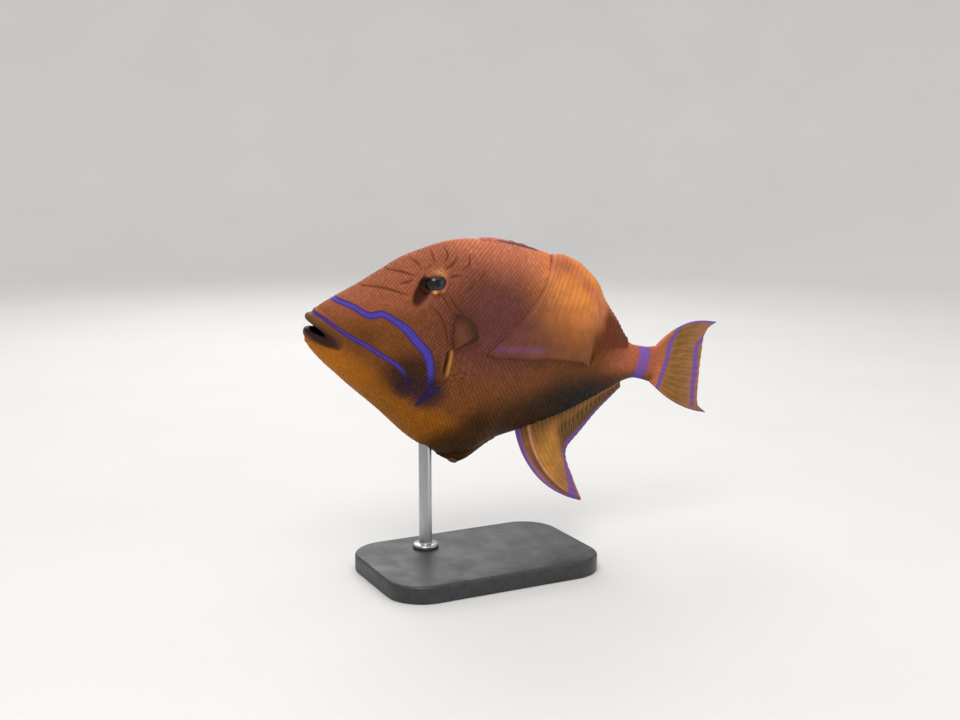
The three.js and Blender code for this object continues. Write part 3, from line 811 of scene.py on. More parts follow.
def folds(points):
    """How far each point of the skin moves out, in mm."""
    move = np.zeros(len(points))
    side_on = np.abs(points[:, 1]) > 4
    along, across = in_frame(points, *HOLLOW).T
    bowl = np.sqrt((along / HOLLOW_LONG) ** 2 + (across / HOLLOW_WIDE) ** 2)
    move -= 2.3 * (1 - smooth(0.25, 1.1, bowl)) * side_on
    move += 0.35 * np.exp(-((bowl - 1.25) / 0.16) ** 2) * side_on
    along, across = in_frame(points, *GILL_SLIT).T
    short = np.clip(1 - (along / SLIT_HALF) ** 2, 0, 1)
    move -= 4.2 * short * np.exp(-(across / 1.15) ** 2) * side_on
    move += 0.9 * short * np.exp(-((across + 2.6) / 1.5) ** 2) * side_on
    move += 0.8 * short * np.exp(-((across - 2.9) / 1.2) ** 2) * side_on
    for nostril in NOSTRILS:
        off = np.linalg.norm(points[:, [0, 2]] - np.array(nostril) * LENGTH, axis=1)
        move -= (1.3 * np.exp(-(off / 0.95) ** 2) - 0.35 * np.exp(-((off - 2) / 0.6) ** 2)) * side_on
    lips_off = mouth_distance(points)
    move -= 0.6 * np.exp(-((lips_off - 4.3) / 0.9) ** 2)
    move -= 0.3 * np.exp(-((lips_off - 8.2) / 1.1) ** 2)
    move += 0.2 * np.exp(-((lips_off - 6.2) / 1.0) ** 2)
    face = points[:, 0] < FACE_END
    move[face] -= 0.22 * smooth(-0.9, 0.4, markings(points[face])["lines_and_gill_shadow"])
    x, y, z = points.T
    move += 0.1 * np.sin(x / 7.3 + 1.3 * np.sin(z / 9.1)) * np.sin(z / 6.7 + y / 11)
    return move


SOCKET_RADIUS = EYE_RADIUS + 0.12
points = points + normals_of(skin) * folds(points)[:, None]
for side in (-1, 1):
    off = points - eye_centre(side)
    far = np.linalg.norm(off, axis=1)[:, None]
    points = np.where(far < SOCKET_RADIUS, eye_centre(side) + off / far * SOCKET_RADIUS, points)
set_points(skin, points)
net = BVHTree.FromPolygons([tuple(p) for p in points],
                           [tuple(f.vertices) for f in skin.data.polygons])
print("deepest fold:", round(float(folds(points).min()), 2), "mm")

# %% [markdown]
# ## Attributes for the paint
# The distances and shares that the markings give are stored on the points of each
# mesh. A material reads them by name, so skin and plates wear the same pattern and
# it stays put from every side. The points are turned into the swimming pose last.


# %% Store and pose
def give(made, values):
    """Stores values on a mesh's points under names that materials read."""
    for name, value in values.items():
        kept = made.data.attributes.get(name) or made.data.attributes.new(name, "FLOAT", "POINT")
        kept.data.foreach_set("value", np.asarray(value, np.float32))


def finish_piece(made, slot, *nodes):
    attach(made, "root")
    if nodes:
        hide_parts(*nodes)


def oval_distance(points, frame_at, radii):
    """1 on an oval's edge, less inside; frame_at gives its place and turn."""
    return np.linalg.norm(in_frame(points, *frame_at) / radii, axis=1)


inside = np.linalg.norm((points - GAPE) @ turning("Y", GAPE_TILT) / [20.0, 14.5, 3.5], axis=1)
mouth_corner = oval_distance(points, (0.047, -0.0065, 22), [5.4, 14.0])
hollow = oval_distance(points, HOLLOW, [HOLLOW_LONG, HOLLOW_WIDE])
eye_corner = oval_distance(points, (0.2625, 0.159, 0), [4.4, 6.0])
slit = in_frame(points, *GILL_SLIT)
give(skin, markings(points))
# Besides the lips' colour, these shares lay painted shade in the gape, in the hollow before the eye
# and in the gill slit.
give(skin, {
    "lip": 1 - smooth(2.6, 4.2, mouth_distance(points)),
    "corner": 1 - smooth(0.55, 1.15, mouth_corner),
    "mouth": 1 - smooth(0.9, 1.12, inside),
    "hollow": 1 - smooth(0.6, 1.05, hollow),
    # A painted shadow in front of the eye.
    "eye_front_shadow": 1 - smooth(0.55, 1.1, eye_corner),
    # The pale rim behind the gill opening: partly a painted highlight.
    "rim": smooth(0.9, 1.6, slit[:, 1]) * smooth(3.5, 2.3, slit[:, 1])
    * smooth(11.0, 7.0, np.abs(slit[:, 0])),
    "slit": smooth(1.5, 0.6, np.abs(slit[:, 1])) * smooth(10.0, 6.5, np.abs(slit[:, 0])),
})
set_points(skin, to_world(points))
finish_piece(skin, "skin", "head", "trunk", "tail_stalk", "pelvic_flap", "upper_lip",
             "lower_lip")
print("skin triangles:", 2 * len(skin.data.polygons))

# %% [markdown]
# ## The coat of plates
# A triggerfish wears an armour of rhombic plates that lie edge to edge in slanting
# rows, about sixty from the gill opening to the tail, finer on the face. Thousands
# of separate objects would be slow and would not export, so one small plate is
# repeated as numbers: a lattice of roots over the flank, a template of twenty-five
# points for each, all joined in a few meshes. Each plate is a closed little pillow
# whose rear edge stands up over the next, as shingles do.

# %% One plate and the lattice
CORNERS = np.linspace(0, 2 * math.pi, 8, endpoint=False)
OUTER = np.where(np.arange(8) % 2 == 0, 0.97, 0.745)[:, None] * np.stack(
    [np.cos(CORNERS), np.sin(CORNERS)], -1)
PLATE = np.concatenate([[[0.05, 0]], OUTER * 0.6 + [0.03, 0], OUTER + [0.02, 0], OUTER * 0.96])
RISE = np.concatenate([[0.42], 0.36 + 0.12 * OUTER[:, 0], 0.2 + 0.17 * OUTER[:, 0],
                       np.zeros(8)])
ROOT_DEPTH = -0.35
USUAL_PLATE, TALL = 3.05, 1.32
plate_size = profile([(0.02, 1.7), (0.12, 2.1), (0.25, 2.5), (0.36, 3.05), (0.7, 3.15),
                      (0.86, 2.7), (1.0, 2.2), (1.03, 2.1)])
along_steps = np.linspace(0.021, 1.03, 4000)
plate_count = np.concatenate([[0], np.cumsum(np.diff(along_steps) * LENGTH
                                             / plate_size(along_steps[:-1]))])


def station(column):
    return np.interp(column, plate_count, along_steps)


def lattice(columns, rows):
    """Every second cell of a net of half steps, as columns and rows."""
    c, r = np.meshgrid(columns, rows, indexing="ij")
    even = (c + r) % 2 == 0
    return c[even] / 2, r[even] / 2


def roots():
    """Lattice cells (column, row) of one flank whose middle lies on it."""
    c, r = lattice(np.arange(1, int(2 * plate_count[-1])), np.arange(-120, 121))
    x = station(c)
    w = r * plate_size(x) * TALL
    room = reach(x, w > 0) - np.abs(w)
    return np.stack([c, r], -1)[room > 0.2 * plate_size(x) * TALL]


def middle_roots():
    """One row of plates right along the back, and one along the belly."""
    c = np.arange(1, int(plate_count[-1]))
    x = station(c)
    high = reach(x, True) / plate_size(x) / TALL
    low = -reach(x, False) / plate_size(x) / TALL
    return np.concatenate([np.stack([c, high], -1), np.stack([c, low], -1)])


print("plates on one flank:", len(roots()))

# %% [markdown]
# ## Bare places
# Plates stop where the fish is bare: on the lips, about the eye and in the hollow
# before it, in the gill opening, at the foot of the fins, and where the rod of the
# stand comes in. Behind the gill opening a few plates are nearly twice the size of
# the rest, as in all fish of this family.

# %% Which plates stay
ROD_STATION, ROD_ROOM = 0.392, 0.0055
ROD_AT = to_world(np.array([[ROD_STATION, 0.0, float(belly(ROD_STATION))]]) * LENGTH)[0]
BIG_PLATES = np.array([(0.3725, -0.001), (0.3745, -0.0205), (0.373, -0.04), (0.391, -0.011),
                       (0.392, -0.0305), (0.3895, -0.05), (0.409, -0.0205), (0.4085, -0.04),
                       (0.3695, -0.0595)]) * LENGTH
BIG_SIZE = 5.2
FIN_FEET = ((1, 2.4, 0.388, 0.555), (1, 1.6, 0.59, 0.893), (-1, 1.6, 0.62, 0.91))
LIDS_EDGE, NOSTRIL_ROOM = 9.3, 3.0


def stays(at):
    """True where a plate with its root at a point of the fish may stand."""
    keep = mouth_distance(at) > 4.2
    for side in (-1, 1):
        out = eye_frame(side)[2]
        off = (at - eye_centre(side)) @ out
        flat = np.linalg.norm(at - eye_centre(side) - off[:, None] * out, axis=1)
        keep &= (flat > LIDS_EDGE) | (off < 0)
    slit = in_frame(at, *GILL_SLIT)
    keep &= oval_distance(at, HOLLOW, [HOLLOW_LONG, HOLLOW_WIDE]) > 1.02
    keep &= (np.abs(slit[:, 0]) > 10.6) | (slit[:, 1] < -2.2) | (slit[:, 1] > 3.9)
    nostrils = np.array([0.266, 0.1875]) * LENGTH
    keep &= np.linalg.norm(at[:, [0, 2]] - nostrils, axis=1) > NOSTRIL_ROOM
    x, y, z = at.T
    for up, half, first, last in FIN_FEET:
        keep &= ~((np.abs(y) < half) & (z * up > 0) & (x > first * LENGTH) & (x < last * LENGTH))
    keep &= x < (1.024 - 6.0 * (z / LENGTH - 0.004) ** 2) * LENGTH
    world = to_world(at)
    keep &= (np.linalg.norm(world[:, :2] - ROD_AT[:2], axis=1) > ROD_ROOM) | (
        world[:, 2] > ROD_AT[2] + 0.03)
    return keep


def clear_of_big(at):
    """True where a plate's root is outside the rhombs of the big plates."""
    off = np.abs(at[:, None, [0, 2]] - BIG_PLATES[None]) / (BIG_SIZE * np.array([0.5, 0.66]))
    return off.sum(2).min(1) > 0.95


print("rod meets the belly at:", ROD_AT.round(3).tolist())


# %% Lay the plates
SEARCH = 5.0


def on_skin(ideal, normal):
    """How far the skin lies off the ideal surface at each point, in mm, or nan."""
    out = np.full(len(ideal), np.nan)
    start, down = ideal + SEARCH * normal, -normal
    for k in range(len(ideal)):
        hit = net.ray_cast(start[k].tolist(), down[k].tolist(), 2 * SEARCH)
        if hit[0] is not None:
            out[k] = SEARCH - hit[3]
    return out


def laid(cells, over, side, seed, swell=1.0):
    """Points, roots and chances of plates on the surface that over gives."""
    rng = np.random.default_rng(seed)
    grow = swell * rng.normal(1.0, 0.035, (len(cells), 1, 1))
    spot_at = cells[:, None] + PLATE[None] * 0.5 * grow
    x = station(spot_at[..., 0])
    w = spot_at[..., 1] * plate_size(x) * TALL
    ideal = over(x, w, side)
    e = 0.15
    tall = over(x, w + e, side) - over(x, w - e, side)
    long = over(x + e / LENGTH, w, side) - over(x - e / LENGTH, w, side)
    normal = np.cross(long, tall)
    normal /= np.maximum(np.linalg.norm(normal, axis=-1), 1e-9)[..., None]
    normal *= np.where((normal[..., 1] * ideal[..., 1]).sum(1) >= 0, 1, -1)[:, None, None]
    asked = np.concatenate([[0], np.arange(9, 17)])
    offset = on_skin(ideal[:, asked].reshape(-1, 3), normal[:, asked].reshape(-1, 3))
    offset = offset.reshape(len(cells), 9)
    spread = offset.max(1) - offset.min(1)
    good = (spread < 1.5) & (np.abs(offset[:, 0]) < 3.0)
    offset = np.nan_to_num(offset)
    inner = 0.4 * offset[:, :1] + 0.6 * offset[:, 1:]
    offset = np.concatenate([offset[:, :1], inner, offset[:, 1:], offset[:, 1:]], axis=1)
    size = plate_size(x[:, :1])
    rise = RISE[None] * (size / USUAL_PLATE) * rng.normal(1.0, 0.1, (len(cells), 1))
    rise[:, 17:] = ROOT_DEPTH
    points = ideal + normal * (offset + rise)[..., None]
    return points[good], x[good], w[good], rng.random(len(cells))[good]


def plate_faces(count):
    """The fan, the sides and the underside of every plate."""
    ring = np.arange(8)
    ahead = (ring + 1) % 8
    fan = np.stack([np.zeros(8, int), 1 + ring, 1 + ahead], -1)
    top = np.stack([1 + ring, 9 + ring, 9 + ahead, 1 + ahead], -1)
    edge = np.stack([9 + ring, 17 + ring, 17 + ahead, 9 + ahead], -1)
    under = np.array([17 + ring[::-1]])
    base = 25 * np.arange(count)[:, None, None]
    return [(f[None] + base).reshape(-1, f.shape[1])
            for f in (fan, np.concatenate([top, edge]), under)]


def faces_out(points):
    """Whether the first plate's top fan faces away from its underside."""
    a, b, c = points[0, :3]
    return np.cross(b - a, c - a) @ (a - points[0, 17:].mean(0)) > 0


MAP_START, MAP_LONG, MAP_TALL, MAP_PATCH = 0.02, 0.93, 0.0027, 0.003


def bake_map(made, x, w, side):
    """A tiny patch for each plate, at its root's place on the laid-out flank."""
    across = (0.75 if side > 0 else 0.25) + MAP_TALL * w[:, 0]
    root = np.stack([MAP_START + MAP_LONG * x[:, 0], across], -1)
    patch = root[:, None] + PLATE[None] * MAP_PATCH / 2
    corners = np.empty(len(made.data.loops), np.int32)
    made.data.loops.foreach_get("vertex_index", corners)
    layer = made.data.uv_layers.new(name="OFBake")
    layer.data.foreach_set("uv", patch.reshape(-1, 2)[corners].astype(np.float32).ravel())


def plates(name, side, sets):
    """One mesh of plates from several sets laid on the same side."""
    points, x, w, chance = (np.concatenate(k) for k in zip(*sets))
    faces = plate_faces(len(points))
    if not faces_out(points):
        faces = [f[:, ::-1] for f in faces]
    flat = points.reshape(-1, 3)
    made = build(name, to_world(flat), *faces)
    bake_map(made, x, w, side)
    give(made, markings(flat))
    rim = np.tile(np.concatenate([[0.0], np.full(8, 0.45), np.full(16, 1.0)]), len(points))
    give(made, {"edge": rim, "fleck": np.repeat(chance, 25)})
    finish_piece(made, "skin")
    return made


def over_flap(x, w, side):
    """The flat side of the pelvic flap, with w as its height."""
    return np.stack([x * LENGTH, side * 2.5 + 0 * x, w], -1)


def flap_roots():
    """Lattice cells that lie on the flat side of the pelvic flap."""
    c, r = lattice(np.arange(0, 2 * plate_count[-1]), np.arange(-80, -30))
    x = station(c)
    z = r * plate_size(x) * TALL / LENGTH
    drop = np.where(x < 0.485, (x - 0.425) / 0.06, (0.575 - x) / 0.09)
    low = belly(x) - 0.005 - 0.023 * np.clip(drop, 0, 1) ** 1.1
    keep = (x > 0.428) & (x < 0.57) & (z < belly(x) + 0.001) & (z > low + 0.004)
    keep &= (np.abs(x - 0.475) > 0.018) | (z > -0.298)
    return np.stack([c[keep], r[keep]], -1)


def root_points(cells, side):
    """Where on the flank the middles of lattice cells lie, in mm."""
    x = station(cells[:, 0])
    return over_body(x, cells[:, 1] * plate_size(x) * TALL, side)


def big_roots(side):
    """Lattice places of the big plates, found by their height on the flank."""
    out = []
    for x, z in BIG_PLATES:
        w = np.linspace(-60, 60, 1201)
        at = over_body(np.full(1201, x / LENGTH), w, side)
        best = w[np.argmin(np.abs(at[:, 2] - z))]
        out.append((np.interp(x / LENGTH, along_steps, plate_count),
                    best / plate_size(x / LENGTH) / TALL))
    return np.array(out, float)


FIRST_SEED, MIDLINE_SEED, BIG_SEED, FLAP_SEED = 10, 31, 50, 60
coat = []
for side, flank_name in ((-1, "left"), (1, "right")):
    cells = roots()
    at = root_points(cells, side)
    cells = cells[stays(at) & clear_of_big(at)]
    where = station(cells[:, 0])
    for part, low, high in (("face", 0.0, 0.3), ("shoulder", 0.3, 0.55), ("rear", 0.55, 1.1)):
        pick = (where >= low) & (where < high)
        sets = [laid(cells[pick], over_body, side, FIRST_SEED + len(coat))]
        if part == "shoulder":
            sets.append(laid(big_roots(side), over_body, side, BIG_SEED, BIG_SIZE / USUAL_PLATE))
            sets.append(laid(flap_roots(), over_flap, side, FLAP_SEED))
        coat.append(plates(f"scales_{part}_{flank_name}", side, sets))
cells = middle_roots()
cells = cells[stays(root_points(cells, 1))]
coat.append(plates("scales_midline", 1, [laid(cells, over_body, 1, MIDLINE_SEED)]))
print({k.name: len(k.data.polygons) // 25 for k in coat})

# %% [markdown]
# ## Paint
# Living colour comes from many thin layers. The material begins with an ochre brown
# and lays further pigments over it, each where its attribute says and broken by
# noise, then the dark lines, the bands and the bare places. Some layers are, wholly
# or in part, painted light and shade: shade on the lower cheek, the throat, the belly
# and under the rear, a half-shade on the head top, top light on the back, highlights
# on the brow, the lids and the gill rim, and shade in the hollows of the face. The
# helpers keep the node trees short: one makes any node, one mixes two colours, one
# lightens or darkens.


# %% Node helpers
def pigment(r, g, b):
    """A colour from its usual 0 to 255 values, as the linear one that nodes want."""
    c = np.array([r, g, b]) / 255
    c = np.where(c <= 0.04045, c / 12.92, ((c + 0.055) / 1.055) ** 2.4)
    return (*c.tolist(), 1.0)


def node(tree, kind, inputs=None, **settings):
    """A new node with its inputs filled or linked, and its settings made."""
    made = tree.nodes.new("ShaderNode" + kind)
    for key, value in settings.items():
        setattr(made, key, value)
    for key, value in (inputs or {}).items():
        if isinstance(value, bpy.types.NodeSocket):
            tree.links.new(value, made.inputs[key])
        else:
            made.inputs[key].default_value = value
    return made


def mixed(tree, factor, a, b):
    return node(tree, "Mix", {0: factor, 6: a, 7: b}, data_type="RGBA").outputs[2]


def ramp(tree, value, low, high, to_low=0.0, to_high=1.0):
    return node(tree, "MapRange", {"Value": value, "From Min": low, "From Max": high,
                                   "To Min": to_low, "To Max": to_high},
                interpolation_type="SMOOTHSTEP").outputs[0]


def attribute(tree, name):
    return node(tree, "Attribute", attribute_name=name).outputs["Fac"]


def math_of(tree, kind, *values, **settings):
    return node(tree, "Math", dict(enumerate(values)), operation=kind, **settings).outputs[0]


def toned(tree, colour, value, saturation=1.0):
    """The same colour, lighter or darker."""
    return node(tree, "HueSaturation", {"Value": value, "Saturation": saturation,
                                        "Color": colour}).outputs[0]


def noise(tree, scale, detail=2.0, stretch=None):
    at = node(tree, "TexCoord").outputs["Object"]
    if stretch:
        at = node(tree, "Mapping", {"Vector": at, "Scale": stretch}).outputs[0]
    return node(tree, "TexNoise", {"Vector": at, "Scale": scale, "Detail": detail}).outputs["Fac"]


def new_material(name, **constants):
    """A material with one Principled shader, whose plain sockets are given here."""
    made = bpy.data.materials.new(name)
    made.use_nodes = True
    tree = made.node_tree
    tree.nodes.clear()
    out = tree.nodes.new("ShaderNodeOutputMaterial")
    shader = tree.nodes.new("ShaderNodeBsdfPrincipled")
    tree.links.new(shader.outputs[0], out.inputs[0])
    for key, value in constants.items():
        shader.inputs[key.replace("_", " ")].default_value = value
    return made, tree, shader


def bumped(tree, shader, height, distance, strength):
    lift = node(tree, "Bump", {"Height": height, "Distance": distance, "Strength": strength})
    tree.links.new(lift.outputs[0], shader.inputs["Normal"])


print("pigment check:", [round(k, 3) for k in pigment(214, 120, 88)])

# %% Fish paint
UMBER = pigment(128, 74, 32)
# Of these zones the head top's brown is partly painted half-shade, the coral back partly painted top
# light and the dulled gold of the throat partly painted shade; the brow zone is a painted highlight,
# and the last four zones are painted shade.
ZONES = (("tawny", pigment(158, 90, 60), 0.95), ("coral", pigment(214, 127, 94), 0.95),
         ("plum", pigment(104, 57, 55), 0.9), ("amber", pigment(232, 142, 66), 0.95),
         ("rose", pigment(184, 102, 74), 0.9), ("gold", pigment(188, 112, 8), 0.98),
         ("ochre", pigment(152, 88, 8), 0.85), ("brow_highlight", pigment(200, 138, 84), 0.65),
         ("shade", pigment(50, 28, 16), 0.82), ("violet_shade", pigment(46, 26, 44), 0.75),
         ("belly_shade", pigment(62, 36, 12), 0.92), ("rear_belly_shade", pigment(24, 16, 12), 0.92))
VIOLET, VIOLET_EDGE, LILAC = pigment(72, 64, 168), pigment(62, 36, 106), pigment(128, 88, 164)
# The dark violet of the painted shade on the bands, and the brown of the dark lines and of the
# painted shadow behind the gill opening.
SHADED_VIOLET, LINE_AND_SHADOW_BROWN = pigment(40, 24, 60), pigment(92, 42, 12)
# Of the bare places, the first is a painted highlight on the lower lid, the pale gill rim is partly
# a painted highlight, and the hollow, the place in front of the eye, the gill slit and the gape are
# darkened as painted shade.
BARE_PLACES = (("lid_highlight", pigment(236, 176, 104), 0.85), ("rim", pigment(186, 130, 58), 0.85),
               ("hollow", pigment(50, 18, 10), 0.95), ("eye_front_shadow", pigment(14, 12, 10), 0.96),
               ("slit", pigment(60, 32, 18), 0.8), ("lip", pigment(92, 56, 24), 0.92),
               ("corner", pigment(48, 18, 18), 0.95), ("mouth", pigment(10, 6, 7), 0.99))


def zoned(tree, broad):
    """The pigments of the zones laid over each other, as a socket."""
    colour = UMBER
    for name, hue, strength in ZONES:
        share = math_of(tree, "MULTIPLY", attribute(tree, name), strength)
        wobble = math_of(tree, "MULTIPLY_ADD", broad, 0.5, 0.78)
        share = math_of(tree, "MULTIPLY", share, wobble, use_clamp=True)
        colour = mixed(tree, share, colour, hue)
    return colour


def fish_colour(tree, plated):
    """The layered colour of skin or plates, as a socket."""
    fine = noise(tree, 420.0, 2.0)
    colour = zoned(tree, noise(tree, 45.0, 3.0))
    dark = toned(tree, colour, 0.62, 1.08)
    colour = mixed(tree, ramp(tree, fine, 0.62, 0.4, 0.0, 0.3), colour, dark)
    if plated:
        edge = ramp(tree, attribute(tree, "edge"), 0.3, 1.0, 0.0, 0.32)
        colour = mixed(tree, edge, colour, dark)
        fleck = ramp(tree, attribute(tree, "fleck"), 0.45, 1.0, 0.0, 0.4)
        colour = mixed(tree, fleck, colour, toned(tree, colour, 1.28, 0.96))
    wave = math_of(tree, "MULTIPLY_ADD", fine, 0.9, -0.45)
    # The dark lines, and the painted shadow behind the gill opening.
    lines_and_gill_shadow = math_of(tree, "ADD", attribute(tree, "lines_and_gill_shadow"), wave)
    colour = mixed(tree, ramp(tree, lines_and_gill_shadow, -0.35, 0.3, 0.0, 0.78), colour, LINE_AND_SHADOW_BROWN)
    band = math_of(tree, "ADD", attribute(tree, "violet"), wave)
    tint = mixed(tree, ramp(tree, band, 0.1, 1.8), VIOLET_EDGE, VIOLET)
    tint = mixed(tree, attribute(tree, "rose"), tint, LILAC)
    # Painted shade turns the lower ends of the bands dark violet.
    violet_shade = math_of(tree, "MULTIPLY", attribute(tree, "violet_shade"), 0.92)
    tint = mixed(tree, violet_shade, tint, SHADED_VIOLET)
    return mixed(tree, ramp(tree, band, -0.3, 0.35, 0.0, 0.95), colour, tint)


plate_paint, tree, shader = new_material("plate_paint", Roughness=0.45, Coat_Weight=0.04,
                                         Coat_Roughness=0.25, Specular_IOR_Level=0.12)
tree.links.new(fish_colour(tree, True), shader.inputs["Base Color"])
tree.links.new(ramp(tree, noise(tree, 300.0), 0.3, 0.7, 0.4, 0.6), shader.inputs["Roughness"])
bumped(tree, shader, noise(tree, 1800.0, 3.0), 0.00012, 0.6)
for piece in coat:
    piece.data.materials.append(plate_paint)

skin_paint, tree, shader = new_material("skin_paint", Roughness=0.45, Coat_Weight=0.04,
                                        Coat_Roughness=0.2, Specular_IOR_Level=0.12)
colour = fish_colour(tree, False)
for name, hue, strength in BARE_PLACES:
    share = math_of(tree, "MULTIPLY", attribute(tree, name), strength)
    colour = mixed(tree, share, colour, hue)
tree.links.new(colour, shader.inputs["Base Color"])
tree.links.new(ramp(tree, attribute(tree, "hollow"), 0.0, 0.6, 0.45, 0.85),
               shader.inputs["Roughness"])
creases = node(tree, "TexVoronoi", {"Vector": node(tree, "TexCoord").outputs["Object"],
                                    "Scale": 900.0})
bumped(tree, shader, creases.outputs["Distance"], 0.00015, 0.7)
skin.data.materials.clear()
skin.data.materials.append(skin_paint)
print("paint layers:", len(ZONES) + len(BARE_PLACES) + 2)

# %% [markdown]
# ## Eyes
# The eye is small and round, set high, and turns between oval fleshy lids. A plain
# ball would look like a bead. Here the ball bulges where the cornea is, and each
# point knows how far it is from the middle of the pupil, so that the paint can lay a
# blue-black pupil, a thin dim ring and a dark blue-green iris. The half towards the
# snout is nearly black, as the brow shades it. The wet shine is a clear coat.


# %% Two eyes
CORNEA = 0.75


def eyeball(name, side):
    fine = 96
    lat = np.linspace(0, math.pi, fine // 2 + 1)[1:-1]
    lon = np.linspace(0, 2 * math.pi, fine, endpoint=False)
    fore, up, out = eye_frame(side)
    r = EYE_RADIUS + CORNEA * np.exp(-(lat / 0.52) ** 2.6)
    rings = (r[:, None, None] * (np.sin(lat)[:, None, None]
             * (np.cos(lon)[None, :, None] * fore + np.sin(lon)[None, :, None] * up)
             + np.cos(lat)[:, None, None] * out))
    points, quads, tris = loft(rings)
    points[-2], points[-1] = out * (EYE_RADIUS + CORNEA), -out * EYE_RADIUS
    quads, tris = facing_out(points, quads, tris)
    made = build(name, to_world(points + eye_centre(side)), quads, tris)
    angle = np.concatenate([np.repeat(lat, fine), [0.0, math.pi]])
    give(made, {"pupil": angle * EYE_RADIUS, "front": points @ fore})
    finish_piece(made, "eye", name)
    return made


eyes = [eyeball("eye_left", -1), eyeball("eye_right", 1)]
eye_paint, tree, shader = new_material("eye_paint", Roughness=0.3, Coat_Weight=0.55,
                                       Coat_Roughness=0.02, Specular_IOR_Level=0.1)
away = math_of(tree, "ADD", attribute(tree, "pupil"),
               math_of(tree, "MULTIPLY", noise(tree, 900.0, 3.0), 0.5))
iris = mixed(tree, ramp(tree, noise(tree, 1500.0, 3.0), 0.35, 0.65), pigment(8, 34, 58),
             pigment(22, 44, 50))
colour = pigment(2, 6, 16)
for inner, outer, hue in ((2.9, 3.3, pigment(30, 46, 50)), (3.6, 4.2, iris),
                          (5.2, 6.4, pigment(14, 12, 10))):
    colour = mixed(tree, ramp(tree, away, inner, outer), colour, hue)
shaded = ramp(tree, attribute(tree, "front"), -0.5, 3.2, 0.0, 0.95)
colour = mixed(tree, shaded, colour, pigment(10, 10, 6))
tree.links.new(colour, shader.inputs["Base Color"])
bumped(tree, shader, noise(tree, 1200.0), 0.00006, 0.4)
for piece in eyes:
    piece.data.materials.append(eye_paint)
print("eyes:", [k.name for k in eyes])

# %% [markdown]
# ## Fins
# A fin is a thin skin over a fan of jointed rays, and each ray splits in two, and
# again, before it meets the margin. Modelling rays one by one is slow to fair into
# the membrane. Here the sheet is fine enough to carry them as relief: its thickness
# swells along every ray, and the swelling follows the branches outward.


# %% Rays as relief
def ray_relief(u, v, rays):
    """1 on a ray, 0 between rays, with each ray splitting in two and in four."""
    cell = (u * rays) % 1.0 - 0.5
    first = 0.25 * smooth(0.42, 0.66, v)
    second = 0.125 * smooth(0.7, 0.95, v)
    best = np.full(np.shape(u), 9.0)
    for a in (-1, 1):
        for b in (-1, 1):
            best = np.minimum(best, np.abs(cell - a * first - b * second))
    width = lerp(0.17, 0.075, smooth(0.3, 0.9, v))
    return np.exp(-(best / width) ** 2)


PER_RAY, MEMBRANE, NOTCH, RAY_SWELL = 12, 0.42, 0.016, 0.75


def fin(name, shape, rays, along, root_depth, edge_swell, ripple):
    """A closed fin with relief: the object, its points in mm, and their u and v."""
    u, v = grid(rays * PER_RAY, along)
    relief = ray_relief(u, v, rays)
    notch = 1 - NOTCH * (1 - ray_relief(u, 0 * v + 0.98, rays))
    middle = shape(u, v * notch)
    middle += across_sheet(middle) * (ripple * v * np.cos(2 * math.pi * u * rays))[..., None]
    depth = lerp(root_depth, MEMBRANE, smooth(0, 0.42, v) ** 0.8)
    depth = depth + lerp(RAY_SWELL, edge_swell, v) * relief
    points, quads, tris = slab(middle, depth)
    made = build(name, to_world(points), quads, tris)
    u, v, relief = (np.tile(k.ravel(), 2) for k in (u, v, relief))
    give(made, {"across": u, "out": v, "ray": relief})
    finish_piece(made, "fin", name)
    return made, points, u, v


second_dorsal, dorsal_points, du, dv = fin("second_dorsal_fin", dorsal_point, 27, 56, 3.2, 0.35,
                                           0.18)
anal, _, au, av = fin("anal_fin", anal_point, 25, 50, 3.2, 0.35, 0.15)
tail, tail_points, tu, tv = fin("tail_fin", tail_point, 12, 56, 4.4, 0.5, 0.22)
pectorals = [fin(name, lambda u, v: pectoral_point(u, v, side), 14, 30, 2.3, 0.22, 0.12)[0]
             for side, name in ((-1, "pectoral_fin_left"), (1, "pectoral_fin_right"))]
print("fin faces:", sum(len(k.data.polygons) for k in [second_dorsal, anal, tail, *pectorals]))

# %% [markdown]
# ## Bands on the fins
# The tail carries two violet bands, one over its root and one just inside the
# margin, with olive yellow between, and its top and bottom edges are violet too. The
# fin under the tail has a violet leading ray and margin, and across its front lobe a
# painted fold: a darker strip beside a pale painted highlight along the fold's ridge.
# The back fin wears the paint of the flank, with one soft violet streak near its
# margin. Distances, and shares of the way out and across, draw these too.

# %% Fin bands
tail_edges = (np.abs(2 * tu - 1) - 0.955) * 40 - 6 * (1 - smooth(0.16, 0.3, tv))
tail_violet = np.maximum(nearest_band(tail_points[:, [0, 2]], TAIL_BANDS), tail_edges)
give(tail, {"violet": tail_violet})

lead = (0.038 + 0.01 * av - au) * 60
margin = 2.1 - np.abs(av - 0.91) * 36
lobe_fold = smooth(0.04, 0.06, au) * (1 - smooth(0.1, 0.12, au))
# Along the fold's ridge: a painted highlight.
crease = 1 - smooth(0.006, 0.018, np.abs(au - 0.118))
give(anal, {"violet": np.maximum(lead, margin), "strip": lobe_fold * smooth(0.1, 0.3, av),
            "hem_and_ridge_highlight": crease * (1 - smooth(0.7, 0.95, av))})

streak = 0.7 - np.abs(dv - 0.92) * 24 - 4 * smooth(0.2, 0.5, du)
strip = 1 - smooth(0.02, 0.085, np.abs(dv - lerp(0.14, 0.36, smooth(0.0, 0.5, du))))
give(second_dorsal, markings(dorsal_points))
give(second_dorsal, {"violet": streak, "strip": 0.5 * strip * (1 - smooth(0.5, 0.66, du)),
                     "hem_and_ridge_highlight": np.maximum(1 - smooth(0.0, 0.03, du), smooth(0.965, 1.0, dv))})
print("violet points on the tail:", int((tail_violet > 0).sum()))

